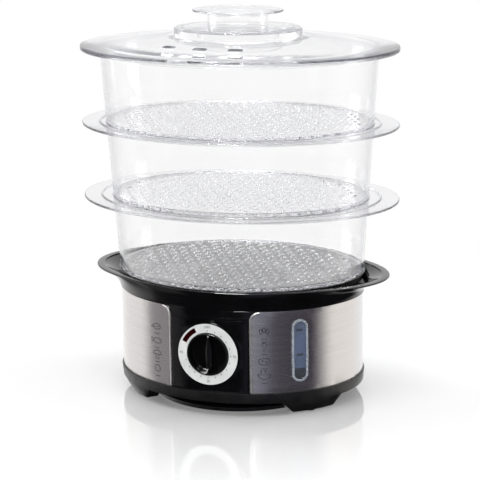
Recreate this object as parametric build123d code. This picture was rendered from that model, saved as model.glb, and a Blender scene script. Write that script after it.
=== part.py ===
from build123d import *
from math import atan2, cos, degrees, radians, sin
import os

# Electric food steamer: an oval base with a water tank, heater and clockwork timer, three clear
# baskets stacked on it, and a clear domed lid with a knob.
# Millimetres. +Z is up, -Y is the front with the timer, the two pouring ears point along X.
# The origin is on the table, under the middle of the oval.

os.makedirs("parts", exist_ok=True)

# ---------------------------------------------------------------- driving dimensions
# Plan of the body: every level of the steamer is an oval about the same middle.
body_half_x = 119.5             # outside of the steel band, left to right
body_half_y = 95.6              # outside of the steel band, front to back
steel_wall = 0.7
housing_wall = 2.4
skin_gap = 0.2                  # between shells that lie on one another
fit_gap = 0.1                   # round a small piece set into another
past = 1.0                      # cuts run this far past what they cut

# Heights, each from the piece below it.
foot_height = 12.8
band_height = 9.8               # black band under the steel
steel_height = 79.4
rim_height = 18.4
deck_rise = 6.0                 # the tank's deck lies above the steel's top edge
tank_floor_rise = 30.7          # inside of the tank, above the pan's floor

# Black base pan, with its four feet.
band_ledge = 1.5                # the band stands out past the steel
band_draft = 1.0
pan_floor = 2.5
upstand_wall = 2.2
upstand_height = 6.0
foot_taper_x = 7.0              # how far a foot leans in down to the table
foot_taper_y = 5.6
foot_depth_x = 19.0             # from the band in to the back of a foot
foot_depth_y = 15.1
foot_top_angles = (40.0, 72.5)      # measured from the front, at the pan
foot_bottom_angles = (48.0, 70.5)   # and at the table
pad_proud = 1.2                 # the rubber pads hold the feet this far off the table
pad_radius = 4.5
pad_height = 3.0
pad_turn = 53.0                 # parameter angle from the front

# Cord store under the pan: a hub, and a round flange a cord's room away from the pan.
flange_margin = 5.0             # the flange reaches this far past the backs of the side feet
cord_room = 31.0                # from the hub out to the flange's edge
hub_wall = 2.4
flange_lift = 1.2
flange_lip = 4.0
flange_plate = 2.2
hub_boss_radius = 4.5
hub_boss_inset = 6.5
hub_screw_count = 3
hub_screw_turn = 30.0
gland_width = 14.0
gland_depth = 6.0
cord_bore_radius = 3.3

# Control panel.
panel_half_width = 38.8
panel_gap = 0.2
panel_wall = 3.6
panel_drop = 8.0                # the panel ends this far below the steel's top edge
panel_lip = 4.2                 # side lips that hook behind the housing
panel_lip_wall = 2.0
steel_corner_radius = 9.0
steel_foot_radius = 1.5
post_radius = 3.5

# Dial and knob.
dial_rise = 1.2                 # the dial's axis, above the middle of the panel
dial_proud = 1.5                # the dial's face stands out past the steel
dial_ring_width = 8.7           # printed ring outside the well
dial_margin = 1.1               # flat pad left round the dial
dial_thickness = 1.2
well_wall = 1.6                 # the well in the panel that the knob turns in
knob_radius = 20.2
knob_side_gap = 0.6
knob_back_gap = 0.7
knob_proud = 1.6                # the knob's face stands out past the dial
knob_depth = 10.6
knob_floor = 2.6                # left behind its two finger pockets
knob_edge = 1.6                 # left round the pockets
knob_round = 0.8
grip_width = 6.5                # bar left between the pockets

# Clockwork timer.
shaft_radius = 3.0
shaft_running_gap = 0.05
shaft_panel_gap = 0.6
shaft_length = 23.0
shaft_bore_depth = 14.0
timer_radius = 18.0
timer_depth = 17.5
timer_plate = 1.2
timer_plate_width = 12.0
timer_plate_end = 5.0
timer_screw_margin = 0.6        # left between the well and each screw
timer_screw_bite = 4.0
bell_radius = 14.5
bell_depth = 7.6
bell_cup = 6.6
bell_wall = 1.0
bell_round = 3.0
bell_stud_radius = 2.0

# Lamp, and its window in the dial.
lamp_angles = (118.0, 155.0)    # sector of the red window, from +X anticlockwise
lamp_well_margin = 2.4          # between the well and the window
lamp_width = 4.4
lamp_proud = 0.2
lamp_radius = 2.8
lamp_length = 12.0
lamp_depth = 7.5                # from the dial's face back to the lamp
lamp_round = 1.2
lamp_holder_wall = 1.1
lamp_holder_length = 8.0

# Water gauge in the steel, to the right of the panel.
gauge_turn = 43.0               # place on the oval, as its parameter angle from the front
gauge_width = 16.5
gauge_low_margin = 10.0         # steel left under the window, and over it
gauge_high_margin = 9.0
gauge_proud = 0.9
gauge_cut = 8.0                 # depth of the slot cut through steel and housing
gauge_shell = 2.0
gauge_flange_grow = 2.8
gauge_flange_low = 4.4          # depths of the window's flange
gauge_flange_deep = 6.0
gasket_thickness = 1.2
duct_depth = 36.0

# Water tank: bowl, deck, and a flared rim with two pouring ears.
rim_lip = 1.8
rim_flare_x = 4.3               # the rim stands out past the steel
rim_flare_y = 3.8
rim_band = 3.4                  # upright edge at the rim's top
tank_wall = 2.5
deck_thickness = 3.0
bowl_side_margin = 19.5         # from the body's side in to the bowl
bowl_rear_margin = 25.6
bowl_timer_gap = 3.2            # between the bowl and the timer's bell
bowl_draft = 4.0
skirt_wall = 2.0
skirt_depth = 6.0
ear_reach = 27.5                # the ears stand out past the body's side
ear_inset = 6.6                 # and are this much narrower than its front
ear_drop = 0.4                  # below the rim's top
ear_edge = 1.2                  # upright edge of an ear
ear_lip = 7.5                   # flat lip round an ear's hollow
ear_root = (-0.5, -11.6)        # the flare's first oval, from the body's oval
ear_hollow_root = (-2.5, -19.1)
ear_profile = ((0.0, 0.0, 0.0), (0.125, 0.36, 0.36), (0.39, 0.68, 0.65), (0.75, 0.92, 0.88), (1.0, 1.0, 1.0))
ear_hollow_profile = ((0.0, 0.0, 0.0), (0.18, 0.40, 0.27), (0.53, 0.74, 0.64), (1.0, 1.0, 1.0))
trough_half_width = 14.0
trough_length = 19.0            # from the housing's inside in to the bowl
trough_depth = 5.5              # below the deck
boss_radius = 4.5
boss_foot_margins = (5.15, 12.1)    # degrees from the feet, to the front and the rear bosses
boss_inset = 14.0
screw_radius = 1.6
screw_head_radius = 3.4
screw_head_height = 1.6
screw_slot_width = 0.9
screw_slot_depth = 0.8
screw_bite = 16.0
small_head_radius = 2.8

# Heater in the tank's floor, with the steam ring that stands round it.
steam_ring_margin = 8.0         # from the bowl's floor edge in to the steam ring
steam_ring_wall = 2.0
steam_ring_drop = 24.0          # below the deck
steam_slots = 8
steam_slot_width = 14.0
steam_slot_height = 8.0
heater_flange_margin = 6.0      # inside the steam ring
heater_flange = 1.5
heater_lap = 6.5                # of the flange on the tank's floor
heater_hole_gap = 0.7
heater_seal = 1.0
heater_drop = 14.0              # the heater's underside, below the tank's floor
stud_radius = 2.5
stud_length = 9.0
tab_thickness = 0.8
tab_width = 6.3
tab_length = 10.0
tab_place = (22.0, 18.0)
bracket_width = 16.0
bracket_strip = 1.6
bracket_overhang = 10.5         # past the heater, at each end
nut_size = 8.0
nut_height = 3.6
thermostat_radius = 8.0
thermostat_height = 7.0
thermostat_gap = 4.0
thermostat_tab_length = 6.0
fuse_radius = 2.0
fuse_length = 14.0
fuse_gap = 12.0
fuse_clip = (4.0, 8.0)
terminal_place = (-62.0, 18.0)
terminal_size = (34.0, 18.0, 14.0)
terminal_ways = 4
terminal_screw_radius = 2.2
terminal_wire_radius = 1.7

# Drip tray, standing on the deck inside the rim.
seat_gap = 0.3
tray_gap = 0.7                  # between the tray's edge and the rim
tray_rim = 1.1
tray_rim_reach = 1.5
tray_wall = 1.6
tray_taper = 7.6                # the tray narrows from its knee to its floor
tray_knee_gap = 0.8             # the knee lies below the basket's collar
tray_floor = 1.6
chimney_half_x = 46.0           # raised steam opening in the middle
chimney_half_y = 34.0
chimney_height = 6.0

# Baskets. The stack's wall is one continuous taper from the tray to the lid.
basket_count = 3
basket_pitch = 71.2
first_seat_rise = 0.8           # above the rim
stack_inset = 1.1               # of the lowest wall, from the tray's edge
stack_flare_x = 0.0700          # growth of the stack's half width for each mm of height
stack_flare_y = 0.0560
basket_wall = 2.0
basket_floor = 2.0
collar_wall = 1.6
collar_drop = 6.0
collar_gap = 0.6
flange_ear = 19.8               # the flange stands out past the stack's top, at the sides
flange_front = 9.2              # and at the front and back
flange_thickness = 2.3
bead_gap_x = 5.3                # between the next basket and the bead round it
bead_gap_y = 0.7
bead_width = 2.0
bead_height = 1.3
hole_radius = 2.5
hole_pitch = 13.0
hole_margin = 9.0

# Lid and its knob.
lid_flange = 2.0
dome_inset_x = 1.2              # the dome's foot, from the stack's top
dome_inset_y = 8.8
dome_rise = 8.4
dome_wall = 2.0
turret_half_x = 62.0
turret_half_y = 50.0
turret_height = 8.4
drip_ring_half_x = 40.0
drip_ring_half_y = 32.0
drip_ring_drop = 3.2
vent_turns = (-25.5, -6.0, 13.5)    # parameter angles from the front
vent_share = 0.47               # how far up the dome the vents lie
vent_length = 14.0
vent_width = 7.0
stem_half_x = 29.4
stem_half_y = 23.5
stem_wall = 1.8
stem_height = 13.0
knob_disc_half_x = 44.0
knob_disc_half_y = 35.2
knob_disc_cone = 1.8
knob_disc_edge = 1.8

# ---------------------------------------------------------------- values worked out from them
band_top_z = foot_height + band_height
steel_top_z = band_top_z + steel_height
rim_top_z = steel_top_z + rim_height
pan_top_z = foot_height + pan_floor
upstand_top_z = band_top_z + upstand_height
tank_floor_z = pan_top_z + tank_floor_rise
tank_under_z = tank_floor_z - tank_wall
tank_deck_z = steel_top_z + deck_rise
deck_under_z = tank_deck_z - deck_thickness

housing_half_x = body_half_x - steel_wall - skin_gap
housing_half_y = body_half_y - steel_wall - skin_gap
housing_in_x = housing_half_x - housing_wall
housing_in_y = housing_half_y - housing_wall
skirt_half_x = housing_in_x - skin_gap
skirt_half_y = housing_in_y - skin_gap
band_half_x = body_half_x + band_ledge
band_half_y = body_half_y + band_ledge
pan_low_x = band_half_x - band_draft
pan_low_y = band_half_y - band_draft
foot_out_x = pan_low_x - foot_taper_x
foot_out_y = pan_low_y - foot_taper_y
foot_in_x = pan_low_x - foot_depth_x
foot_in_y = pan_low_y - foot_depth_y
cord_flange_radius = foot_in_y + flange_margin
hub_radius = cord_flange_radius - cord_room
hub_boss_reach = hub_radius - hub_boss_inset
cord_flange_top_z = flange_lift + flange_lip
cord_plate_low_z = cord_flange_top_z - flange_plate

panel_low_z = band_top_z + panel_gap
panel_top_z = steel_top_z - panel_drop
panel_out_x = body_half_x - panel_gap
panel_out_y = body_half_y - panel_gap
dial_z = (panel_low_z + panel_top_z) / 2 + dial_rise
dial_face_y = body_half_y + dial_proud      # distances in front of the middle
well_radius = knob_radius + knob_side_gap
dial_radius = well_radius + dial_ring_width
lamp_inner_radius = well_radius + lamp_well_margin
lamp_outer_radius = lamp_inner_radius + lamp_width
timer_screw_reach = well_radius + screw_radius + timer_screw_margin
knob_front_y = dial_face_y + knob_proud
knob_back_y = knob_front_y - knob_depth
well_floor_y = knob_back_y - knob_back_gap
well_back_y = well_floor_y - well_wall
timer_front_y = well_back_y - skin_gap - timer_plate
timer_back_y = timer_front_y - timer_depth
bell_back_y = timer_back_y - bell_depth
lamp_front_y = dial_face_y - lamp_depth

gauge_low_z = band_top_z + gauge_low_margin
gauge_high_z = steel_top_z - gauge_high_margin
gauge_height = gauge_high_z - gauge_low_z
gauge_z = (gauge_low_z + gauge_high_z) / 2
duct_end = gauge_flange_deep + gasket_thickness

rim_half_x = body_half_x + rim_flare_x
rim_half_y = body_half_y + rim_flare_y
ear_top_z = rim_top_z - ear_drop
ear_end = (body_half_x + ear_reach, body_half_y - ear_inset, ear_top_z - ear_edge)
ear_start = (body_half_x + ear_root[0], body_half_y + ear_root[1], steel_top_z)
ear_hollow_end = (ear_end[0] - ear_lip, ear_end[1] - ear_lip, ear_end[2])
ear_hollow_start = (body_half_x + ear_hollow_root[0], body_half_y + ear_hollow_root[1], tank_deck_z)
bowl_front_y = bell_back_y - bowl_timer_gap - tank_wall
bowl_rear_y = body_half_y - bowl_rear_margin
bowl_half_x = body_half_x - bowl_side_margin
bowl_half_y = (bowl_front_y + bowl_rear_y) / 2
bowl_back = (bowl_rear_y - bowl_front_y) / 2
bowl_floor_x = bowl_half_x - bowl_draft
bowl_floor_y = bowl_half_y - bowl_draft
steam_ring_radius = bowl_floor_y - steam_ring_margin
steam_ring_top_z = tank_deck_z - steam_ring_drop
heater_flange_radius = steam_ring_radius - steam_ring_wall - heater_flange_margin
heater_radius = heater_flange_radius - heater_lap
heater_low_z = tank_floor_z - heater_drop
bracket_half_length = heater_radius + bracket_overhang

first_seat_z = rim_top_z + first_seat_rise
tray_low_z = tank_deck_z + seat_gap
tray_top_z = first_seat_z - skin_gap
tray_rim_x = rim_half_x - rim_lip - tray_gap
tray_rim_y = rim_half_y - rim_lip - tray_gap
tray_half_x = tray_rim_x - tray_rim_reach
tray_half_y = tray_rim_y - tray_rim_reach
tray_knee_z = first_seat_z - collar_drop - tray_knee_gap
stack_half_x = tray_rim_x - stack_inset
stack_half_y = tray_rim_y - stack_inset
seats_z = [first_seat_z + basket_pitch * level for level in range(basket_count + 1)]
lid_seat_z = seats_z[-1]
stack_top_x = stack_half_x + stack_flare_x * (lid_seat_z - first_seat_z)
stack_top_y = stack_half_y + stack_flare_y * (lid_seat_z - first_seat_z)
flange_half_x = stack_top_x + flange_ear
flange_half_y = stack_top_y + flange_front
bead_half_x = stack_top_x - stack_flare_x * basket_pitch + bead_gap_x + bead_width
bead_half_y = stack_top_y - stack_flare_y * basket_pitch + bead_gap_y + bead_width

dome_half_x = stack_top_x - dome_inset_x
dome_half_y = stack_top_y - dome_inset_y
lid_flange_top_z = lid_seat_z + lid_flange
turret_low_z = lid_flange_top_z + dome_rise
turret_top_z = turret_low_z + turret_height
turret_under_z = turret_top_z - dome_wall
drip_ring_low_z = turret_low_z - drip_ring_drop
knob_cone_z = turret_top_z + stem_height
knob_edge_z = knob_cone_z + knob_disc_cone
knob_top_z = knob_edge_z + knob_disc_edge


# ---------------------------------------------------------------- helpers
def oval(half_x, half_y, z, back=0.0):
    """Flat oval face at height z."""
    return Pos(0, back, z) * Ellipse(half_x, half_y)


def oval_block(half_x, half_y, low, high, back=0.0):
    """Upright oval block from one height to another."""
    return extrude(oval(half_x, half_y, low, back), high - low)


def oval_tube(half_x, half_y, wall, low, high):
    """Upright oval tube, its wall measured inwards."""
    return oval_block(half_x, half_y, low, high) - oval_block(half_x - wall, half_y - wall, low, high)


def oval_cone(low, high, back=0.0):
    """Block that changes from one oval (half_x, half_y, z) to another in straight lines."""
    return loft([oval(*low, back), oval(*high, back)], ruled=True)


def oval_flare(start, end, profile):
    """Smooth flare from one oval to another, through shares of their half sizes and height."""
    sections = [[a + (b - a) * share for a, b, share in zip(start, end, shares)] for shares in profile]
    return loft([oval(*section) for section in sections])


def cylinder(x, y, low, high, radius):
    """Upright cylinder."""
    return extrude(Pos(x, y, low) * Circle(radius), high - low)


def front_block(sketch, near, far):
    """Block of a front-facing sketch, x across and y up, between two distances in front of the middle."""
    plane = Plane(origin=(0, -near, 0), x_dir=(1, 0, 0), z_dir=(0, -1, 0))
    return extrude(plane * sketch, far - near)


def front_cut(sketch):
    """Block of a front-facing sketch that goes through the whole front wall."""
    return front_block(sketch, body_half_y / 2, body_half_y + past)


def front_box(half_width, low, high):
    """Box round everything in front of the middle, this far to each side."""
    return Pos(0, -body_half_y, (low + high) / 2) * Box(2 * half_width, 2 * body_half_y, high - low)


def stack_size(z):
    """Outside half sizes of the stack of baskets at a height."""
    rise = z - first_seat_z
    return stack_half_x + stack_flare_x * rise, stack_half_y + stack_flare_y * rise


def mirrored(shape, plane=Plane.YZ):
    """A shape and its mirror image."""
    return shape + mirror(shape, about=plane)


def four_corners(shape):
    """A shape repeated in all four quarters of the plan."""
    return mirrored(mirrored(shape, Plane.YZ), Plane.XZ)


def boss_points():
    """Centres of the four screw bosses, on an oval inside the body, past the edges of the feet."""
    half_x, half_y = body_half_x - boss_inset, body_half_y - boss_inset
    points = []
    for margin, way in zip(boss_foot_margins, (-1, 1)):
        turn = radians(foot_top_angles[0] - margin)
        reach = 1 / ((sin(turn) / half_x) ** 2 + (cos(turn) / half_y) ** 2) ** 0.5
        x, y = reach * sin(turn), way * reach * cos(turn)
        points += [(-x, y), (x, y)]
    return points


def gauge_plane(depth):
    """Plane of the water gauge, facing out of the oval, sunk by a depth."""
    turn = radians(gauge_turn)
    out_x, out_y = sin(turn) / body_half_x, -cos(turn) / body_half_y
    size = (out_x ** 2 + out_y ** 2) ** 0.5
    out_x, out_y = out_x / size, out_y / size
    foot_x = body_half_x * sin(turn) - depth * out_x
    foot_y = -body_half_y * cos(turn) - depth * out_y
    return Plane(origin=(foot_x, foot_y, gauge_z), x_dir=(-out_y, out_x, 0), z_dir=(out_x, out_y, 0))


def gauge_slot(grow, deep, shallow):
    """Upright stadium block on the gauge's axis, between two depths."""
    width, height = gauge_width + 2 * grow, gauge_height + 2 * grow
    return extrude(gauge_plane(deep) * Rot(0, 0, 90) * SlotOverall(height, width), deep - shallow)


def save(shape, name):
    """Write one node's STEP file."""
    export_step(shape, f"parts/{name}.step")
    print(f"{name:16s} {len(shape.solids())} solid(s)  {shape.volume / 1000:9.2f} cm3")


# ---------------------------------------------------------------- base
def foot_wedge():
    """Sector that one foot fills, wider at the pan than at the table."""
    def sector(angles, z):
        reach = 2 * body_half_x
        first, last = (radians(angle) for angle in angles)
        corners = [(0, 0), (reach * sin(first), -reach * cos(first)), (reach * sin(last), -reach * cos(last))]
        return Pos(0, 0, z) * Polygon(*corners, align=None)
    return loft([sector(foot_bottom_angles, 0), sector(foot_top_angles, foot_height)], ruled=True)


def pad_point():
    """Centre of the front right foot's pad, in the middle of the foot's width."""
    turn = radians(pad_turn)
    return (foot_out_x + foot_in_x) / 2 * sin(turn), -(foot_out_y + foot_in_y) / 2 * cos(turn)


def hub_boss_point(turn):
    """Centre of one of the bosses inside the cord hub."""
    angle = radians(hub_screw_turn + 360 / hub_screw_count * turn)
    return hub_boss_reach * cos(angle), hub_boss_reach * sin(angle)


def make_base_pan():
    """Black moulding under the body: floor, band, upstand for the housing and four feet."""
    band = oval_cone((pan_low_x, pan_low_y, foot_height), (band_half_x, band_half_y, band_top_z))
    upstand = oval_block(skirt_half_x, skirt_half_y, foot_height, upstand_top_z)
    hollow = oval_block(skirt_half_x - upstand_wall, skirt_half_y - upstand_wall, pan_top_z, upstand_top_z)
    foot_ring = oval_cone((foot_out_x, foot_out_y, pad_proud), (pan_low_x, pan_low_y, foot_height))
    foot = (foot_ring - oval_block(foot_in_x, foot_in_y, 0, foot_height)) & foot_wedge()
    foot -= cylinder(*pad_point(), 0, pad_height, pad_radius)
    pan = band + upstand - hollow + four_corners(foot)
    for x, y in boss_points() + [hub_boss_point(turn) for turn in range(hub_screw_count)]:
        pan -= cylinder(x, y, foot_height - past, pan_top_z + past, screw_radius)
    return pan


def make_foot_pads():
    """Rubber pad in the underside of each foot."""
    return four_corners(cylinder(*pad_point(), 0, pad_height, pad_radius))


def gland_block():
    """Block that the cord's inlet fills in the back of the hub's wall."""
    middle = Pos(0, hub_radius - hub_wall / 2, (foot_height + cord_flange_top_z) / 2)
    return middle * Box(gland_width, gland_depth, foot_height - cord_flange_top_z)


def make_cord_hub():
    """Hub and round flange that the cord is wound on."""
    hub = cylinder(0, 0, cord_plate_low_z, foot_height, hub_radius)
    plate = cylinder(0, 0, flange_lift, cord_flange_top_z, cord_flange_radius)
    plate -= cylinder(0, 0, flange_lift, cord_plate_low_z, cord_flange_radius - flange_plate)
    shape = hub + plate - cylinder(0, 0, 0, foot_height, hub_radius - hub_wall)
    for turn in range(hub_screw_count):
        x, y = hub_boss_point(turn)
        shape += cylinder(x, y, cord_plate_low_z, foot_height, hub_boss_radius)
        shape -= cylinder(x, y, 0, foot_height, screw_radius)
    return shape - gland_block()


def make_cord_gland():
    """Inlet for the cord, in the back of the hub."""
    bore = Pos(0, hub_radius - hub_wall / 2, (foot_height + cord_flange_top_z) / 2) * Rot(90, 0, 0)
    return gland_block() - bore * Cylinder(cord_bore_radius, gland_depth)


def make_screw(x, y, head_low, tip):
    """Screw driven upwards, its slotted head below."""
    head_high = head_low + screw_head_height
    screw = cylinder(x, y, head_low, head_high, screw_head_radius)
    screw += cylinder(x, y, head_high, tip, screw_radius)
    slot = Pos(x, y, head_low + screw_slot_depth / 2)
    return screw - slot * Box(2 * screw_head_radius, screw_slot_width, screw_slot_depth)


def make_base_screws():
    """Four screws that pull the pan up to the tank's bosses."""
    low = foot_height - screw_head_height
    return Compound([make_screw(x, y, low, pan_top_z + screw_bite) for x, y in boss_points()])


def make_hub_screws():
    """Screws that hold the hub to the pan."""
    low = cord_plate_low_z - screw_head_height
    return Compound([make_screw(*hub_boss_point(turn), low, pan_top_z) for turn in range(hub_screw_count)])


def make_housing():
    """Black oval wall behind the steel, open at the front for the panel."""
    low, high = band_top_z + skin_gap, steel_top_z - skin_gap
    wall = oval_tube(housing_half_x, housing_half_y, housing_wall, low, high)
    opening_top = panel_top_z + 2 * panel_gap
    opening = Pos(0, (low + opening_top) / 2) * Rectangle(2 * panel_half_width, opening_top - low)
    return wall - front_cut(opening) - gauge_slot(0, gauge_cut, -past)


def steel_opening():
    """Outline cut from the front of the steel: the panel's width, with round corners left on the steel."""
    low, high = band_top_z, steel_top_z + past
    outline = Pos(0, (low + high) / 2) * Rectangle(2 * panel_half_width, high - low)
    for side in (-1, 1):
        for radius, z, way in ((steel_corner_radius, steel_top_z - skin_gap, -1),
                               (steel_foot_radius, band_top_z + skin_gap, 1)):
            edge = side * panel_half_width
            corner = Pos(edge + side * radius / 2, z + way * radius / 2) * Rectangle(radius, radius)
            outline += corner - Pos(edge + side * radius, z + way * radius) * Circle(radius)
    return outline


def make_steel_band():
    """Brushed steel sheet round the body, from one side of the panel to the other."""
    band = oval_tube(body_half_x, body_half_y, steel_wall, band_top_z + skin_gap, steel_top_z - skin_gap)
    return band - front_cut(steel_opening()) - gauge_slot(0, gauge_cut, -past)


# ---------------------------------------------------------------- panel and timer
def dial_circle(radius):
    """Circle about the dial's axis, on a front-facing plane."""
    return Pos(0, dial_z) * Circle(radius)


def side_circle(side, radius):
    """Circle about one of the timer's two screws, on a front-facing plane."""
    return Pos(side * timer_screw_reach, dial_z) * Circle(radius)


def lamp_sector(grow=0.0):
    """Curved window of the lamp, a sector of the dial, on a front-facing plane."""
    sector = Circle(lamp_outer_radius + grow) - Circle(lamp_inner_radius - grow)
    reach = 2 * dial_radius
    spread = degrees(grow / lamp_inner_radius)
    first, last = (radians(angle) for angle in (lamp_angles[0] - spread, lamp_angles[1] + spread))
    middle = (first + last) / 2
    corners = [(0, 0)] + [(reach * cos(angle), reach * sin(angle)) for angle in (first, middle, last)]
    return Pos(0, dial_z) * (sector & Polygon(*corners, align=None))


def lamp_circle(radius):
    """Circle about the middle of the lamp's window, on a front-facing plane."""
    angle = radians(sum(lamp_angles) / 2)
    reach = (lamp_inner_radius + lamp_outer_radius) / 2
    return Pos(reach * cos(angle), dial_z + reach * sin(angle)) * Circle(radius)


def panel_lips():
    """Two upright lips that hook behind the housing, beside the panel's opening."""
    low, half = upstand_top_z + panel_gap, panel_half_width - panel_gap
    lips = oval_tube(housing_in_x - panel_gap, housing_in_y - panel_gap, panel_lip_wall, low, panel_top_z)
    lips &= front_box(half + panel_lip, low, panel_top_z)
    return lips - front_box(half - panel_lip, low, panel_top_z)


def make_front_panel():
    """Glossy black control panel: a curved wall with a round pad, a well for the knob and two posts."""
    shell = oval_tube(panel_out_x, panel_out_y, panel_wall, panel_low_z, panel_top_z)
    shell &= front_box(panel_half_width - panel_gap, panel_low_z, panel_top_z)
    inside_y = panel_out_y - panel_wall
    pad = front_block(dial_circle(dial_radius + dial_margin), inside_y - panel_wall / 2, dial_face_y - skin_gap)
    pad -= oval_block(panel_out_x - panel_wall, inside_y, panel_low_z, panel_top_z)
    pad &= front_box(panel_half_width - panel_gap, panel_low_z, panel_top_z)
    well = front_block(dial_circle(well_radius + well_wall), well_back_y, inside_y + panel_wall / 2)
    holder = lamp_circle(lamp_radius + fit_gap + lamp_holder_wall)
    holder = front_block(holder, lamp_front_y - lamp_holder_length, inside_y + panel_wall / 2)
    panel = shell + panel_lips() + pad + well + holder
    panel -= oval_block(skirt_half_x + panel_gap, skirt_half_y + panel_gap, panel_low_z,
                        upstand_top_z + panel_gap)
    for side in (-1, 1):
        panel += front_block(side_circle(side, post_radius), well_back_y, inside_y + panel_wall / 2)
        panel -= front_block(side_circle(side, screw_radius), well_back_y, well_back_y + timer_screw_bite)
    panel -= front_block(dial_circle(dial_radius + fit_gap), dial_face_y - dial_thickness, dial_face_y)
    panel -= front_block(dial_circle(well_radius), well_floor_y, dial_face_y)
    panel -= front_block(dial_circle(shaft_radius + shaft_panel_gap), well_back_y, dial_face_y)
    panel -= front_block(lamp_sector(fit_gap), lamp_front_y, dial_face_y)
    return panel - front_block(lamp_circle(lamp_radius + fit_gap), body_half_y / 2, lamp_front_y)


def make_dial_ring():
    """Pale printed ring round the knob, cut for the lamp's window."""
    ring = dial_circle(dial_radius) - dial_circle(well_radius) - lamp_sector(fit_gap)
    return front_block(ring, dial_face_y - dial_thickness, dial_face_y)


def make_lamp_lens():
    """Red window over the lamp, through the dial and the panel."""
    return front_block(lamp_sector(), lamp_front_y + fit_gap, dial_face_y + lamp_proud)


def make_indicator_lamp():
    """Neon lamp behind its window."""
    lamp = front_block(lamp_circle(lamp_radius), lamp_front_y - lamp_length, lamp_front_y - fit_gap)
    return fillet(lamp.edges().filter_by(GeomType.CIRCLE).sort_by(Axis.Y)[0], lamp_round)


def make_timer_body():
    """Clockwork timer in its can, with a plate screwed to the panel's posts."""
    plate = Pos(0, dial_z) * SlotOverall(2 * (timer_screw_reach + timer_plate_end), timer_plate_width)
    plate -= side_circle(-1, screw_radius) + side_circle(1, screw_radius)
    can = front_block(dial_circle(timer_radius), timer_back_y, timer_front_y)
    stud = front_block(dial_circle(bell_stud_radius), bell_back_y, timer_back_y)
    body = can + stud + front_block(plate, timer_front_y, timer_front_y + timer_plate)
    bore = dial_circle(shaft_radius + shaft_running_gap)
    return body - front_block(bore, timer_front_y - shaft_bore_depth, timer_front_y + timer_plate)


def make_timer_bell():
    """Bell behind the timer, on the can's stud."""
    cup = front_block(dial_circle(bell_radius), bell_back_y, bell_back_y + bell_cup)
    cup = fillet(cup.edges().filter_by(GeomType.CIRCLE).sort_by(Axis.Y)[-1], bell_round)
    cup -= front_block(dial_circle(bell_radius - bell_wall), bell_back_y + bell_wall, bell_back_y + bell_cup)
    return cup - front_block(dial_circle(bell_stud_radius), bell_back_y, bell_back_y + bell_cup)


def make_timer_screws():
    """Two screws that hold the timer to the panel's posts."""
    screws = []
    for side in (-1, 1):
        back, tip = timer_front_y - screw_head_height, timer_front_y + timer_plate + timer_screw_bite
        head = front_block(side_circle(side, small_head_radius), back, timer_front_y)
        screws.append(head + front_block(side_circle(side, screw_radius), timer_front_y, tip))
    return Compound(screws)


def make_timer_shaft():
    """Timer's spindle, from its works to the knob."""
    front = knob_front_y - knob_floor
    return front_block(dial_circle(shaft_radius), front - shaft_length, front)


def make_timer_knob():
    """Round knob, nearly flush, with a finger pocket on each side of a bar to grip."""
    knob = front_block(dial_circle(knob_radius), knob_back_y, knob_front_y)
    knob = fillet(knob.edges().filter_by(GeomType.CIRCLE).sort_by(Axis.Y)[0], knob_round)
    bar = Pos(0, dial_z) * Rectangle(grip_width, 2 * knob_radius)
    pockets = dial_circle(knob_radius - knob_edge) - bar - dial_circle(shaft_radius + knob_edge)
    knob -= front_block(pockets, knob_back_y + knob_floor, knob_front_y)
    return knob - front_block(dial_circle(shaft_radius), knob_back_y, knob_front_y - knob_floor)


# ---------------------------------------------------------------- water gauge
def make_gauge_lens():
    """Clear window of the gauge: a stadium cap through the steel, with a flange inside."""
    lens = gauge_slot(-fit_gap, gauge_flange_deep, -gauge_proud)
    lens += gauge_slot(gauge_flange_grow, gauge_flange_deep, gauge_flange_low)
    return lens - gauge_slot(-gauge_shell, gauge_flange_deep, gauge_shell - gauge_proud)


def make_gauge_gasket():
    """Rubber seal between the window's flange and the tank's duct."""
    ring = gauge_slot(gauge_flange_grow, duct_end, gauge_flange_deep)
    return ring - gauge_slot(-gauge_shell, duct_end, gauge_flange_deep)


def duct_box(half_width, low, high, deep, shallow):
    """Upright box on the gauge's axis, between two depths."""
    sketch = Pos(0, (low + high) / 2 - gauge_z) * Rectangle(2 * half_width, high - low)
    return extrude(gauge_plane(deep) * sketch, deep - shallow)


# ---------------------------------------------------------------- tank and heater
def trough(grow, half_x, half_y, low, high):
    """Channels that lead water from both ears into the bowl, clipped by an oval."""
    box = Box(trough_length, 2 * (trough_half_width + grow), high - low)
    place = Pos(housing_in_x - trough_length / 2, 0, (low + high) / 2)
    return mirrored(place * box) & oval_block(half_x, half_y, low, high)


def tank_rim():
    """Flared rim with its two ears, hollow, standing on the steel's top edge."""
    flare_top = rim_top_z - rim_band
    rim = oval_cone((body_half_x, body_half_y, steel_top_z), (rim_half_x, rim_half_y, flare_top))
    rim += oval_block(rim_half_x, rim_half_y, flare_top, rim_top_z)
    rim += oval_flare(ear_start, ear_end, ear_profile) + oval_block(*ear_end, ear_top_z)
    rim -= oval_cone((tray_half_x + tray_gap, tray_half_y + tray_gap, tank_deck_z),
                     (rim_half_x - rim_lip, rim_half_y - rim_lip, rim_top_z))
    rim -= oval_flare(ear_hollow_start, ear_hollow_end, ear_hollow_profile)
    return rim - oval_block(*ear_hollow_end, rim_top_z)


def bowl(grow, low, high):
    """Inside of the tank's bowl, or its outside where it is grown by the wall."""
    return oval_cone((bowl_floor_x + grow, bowl_floor_y + grow, low),
                     (bowl_half_x + grow, bowl_half_y + grow, high), bowl_back)


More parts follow.
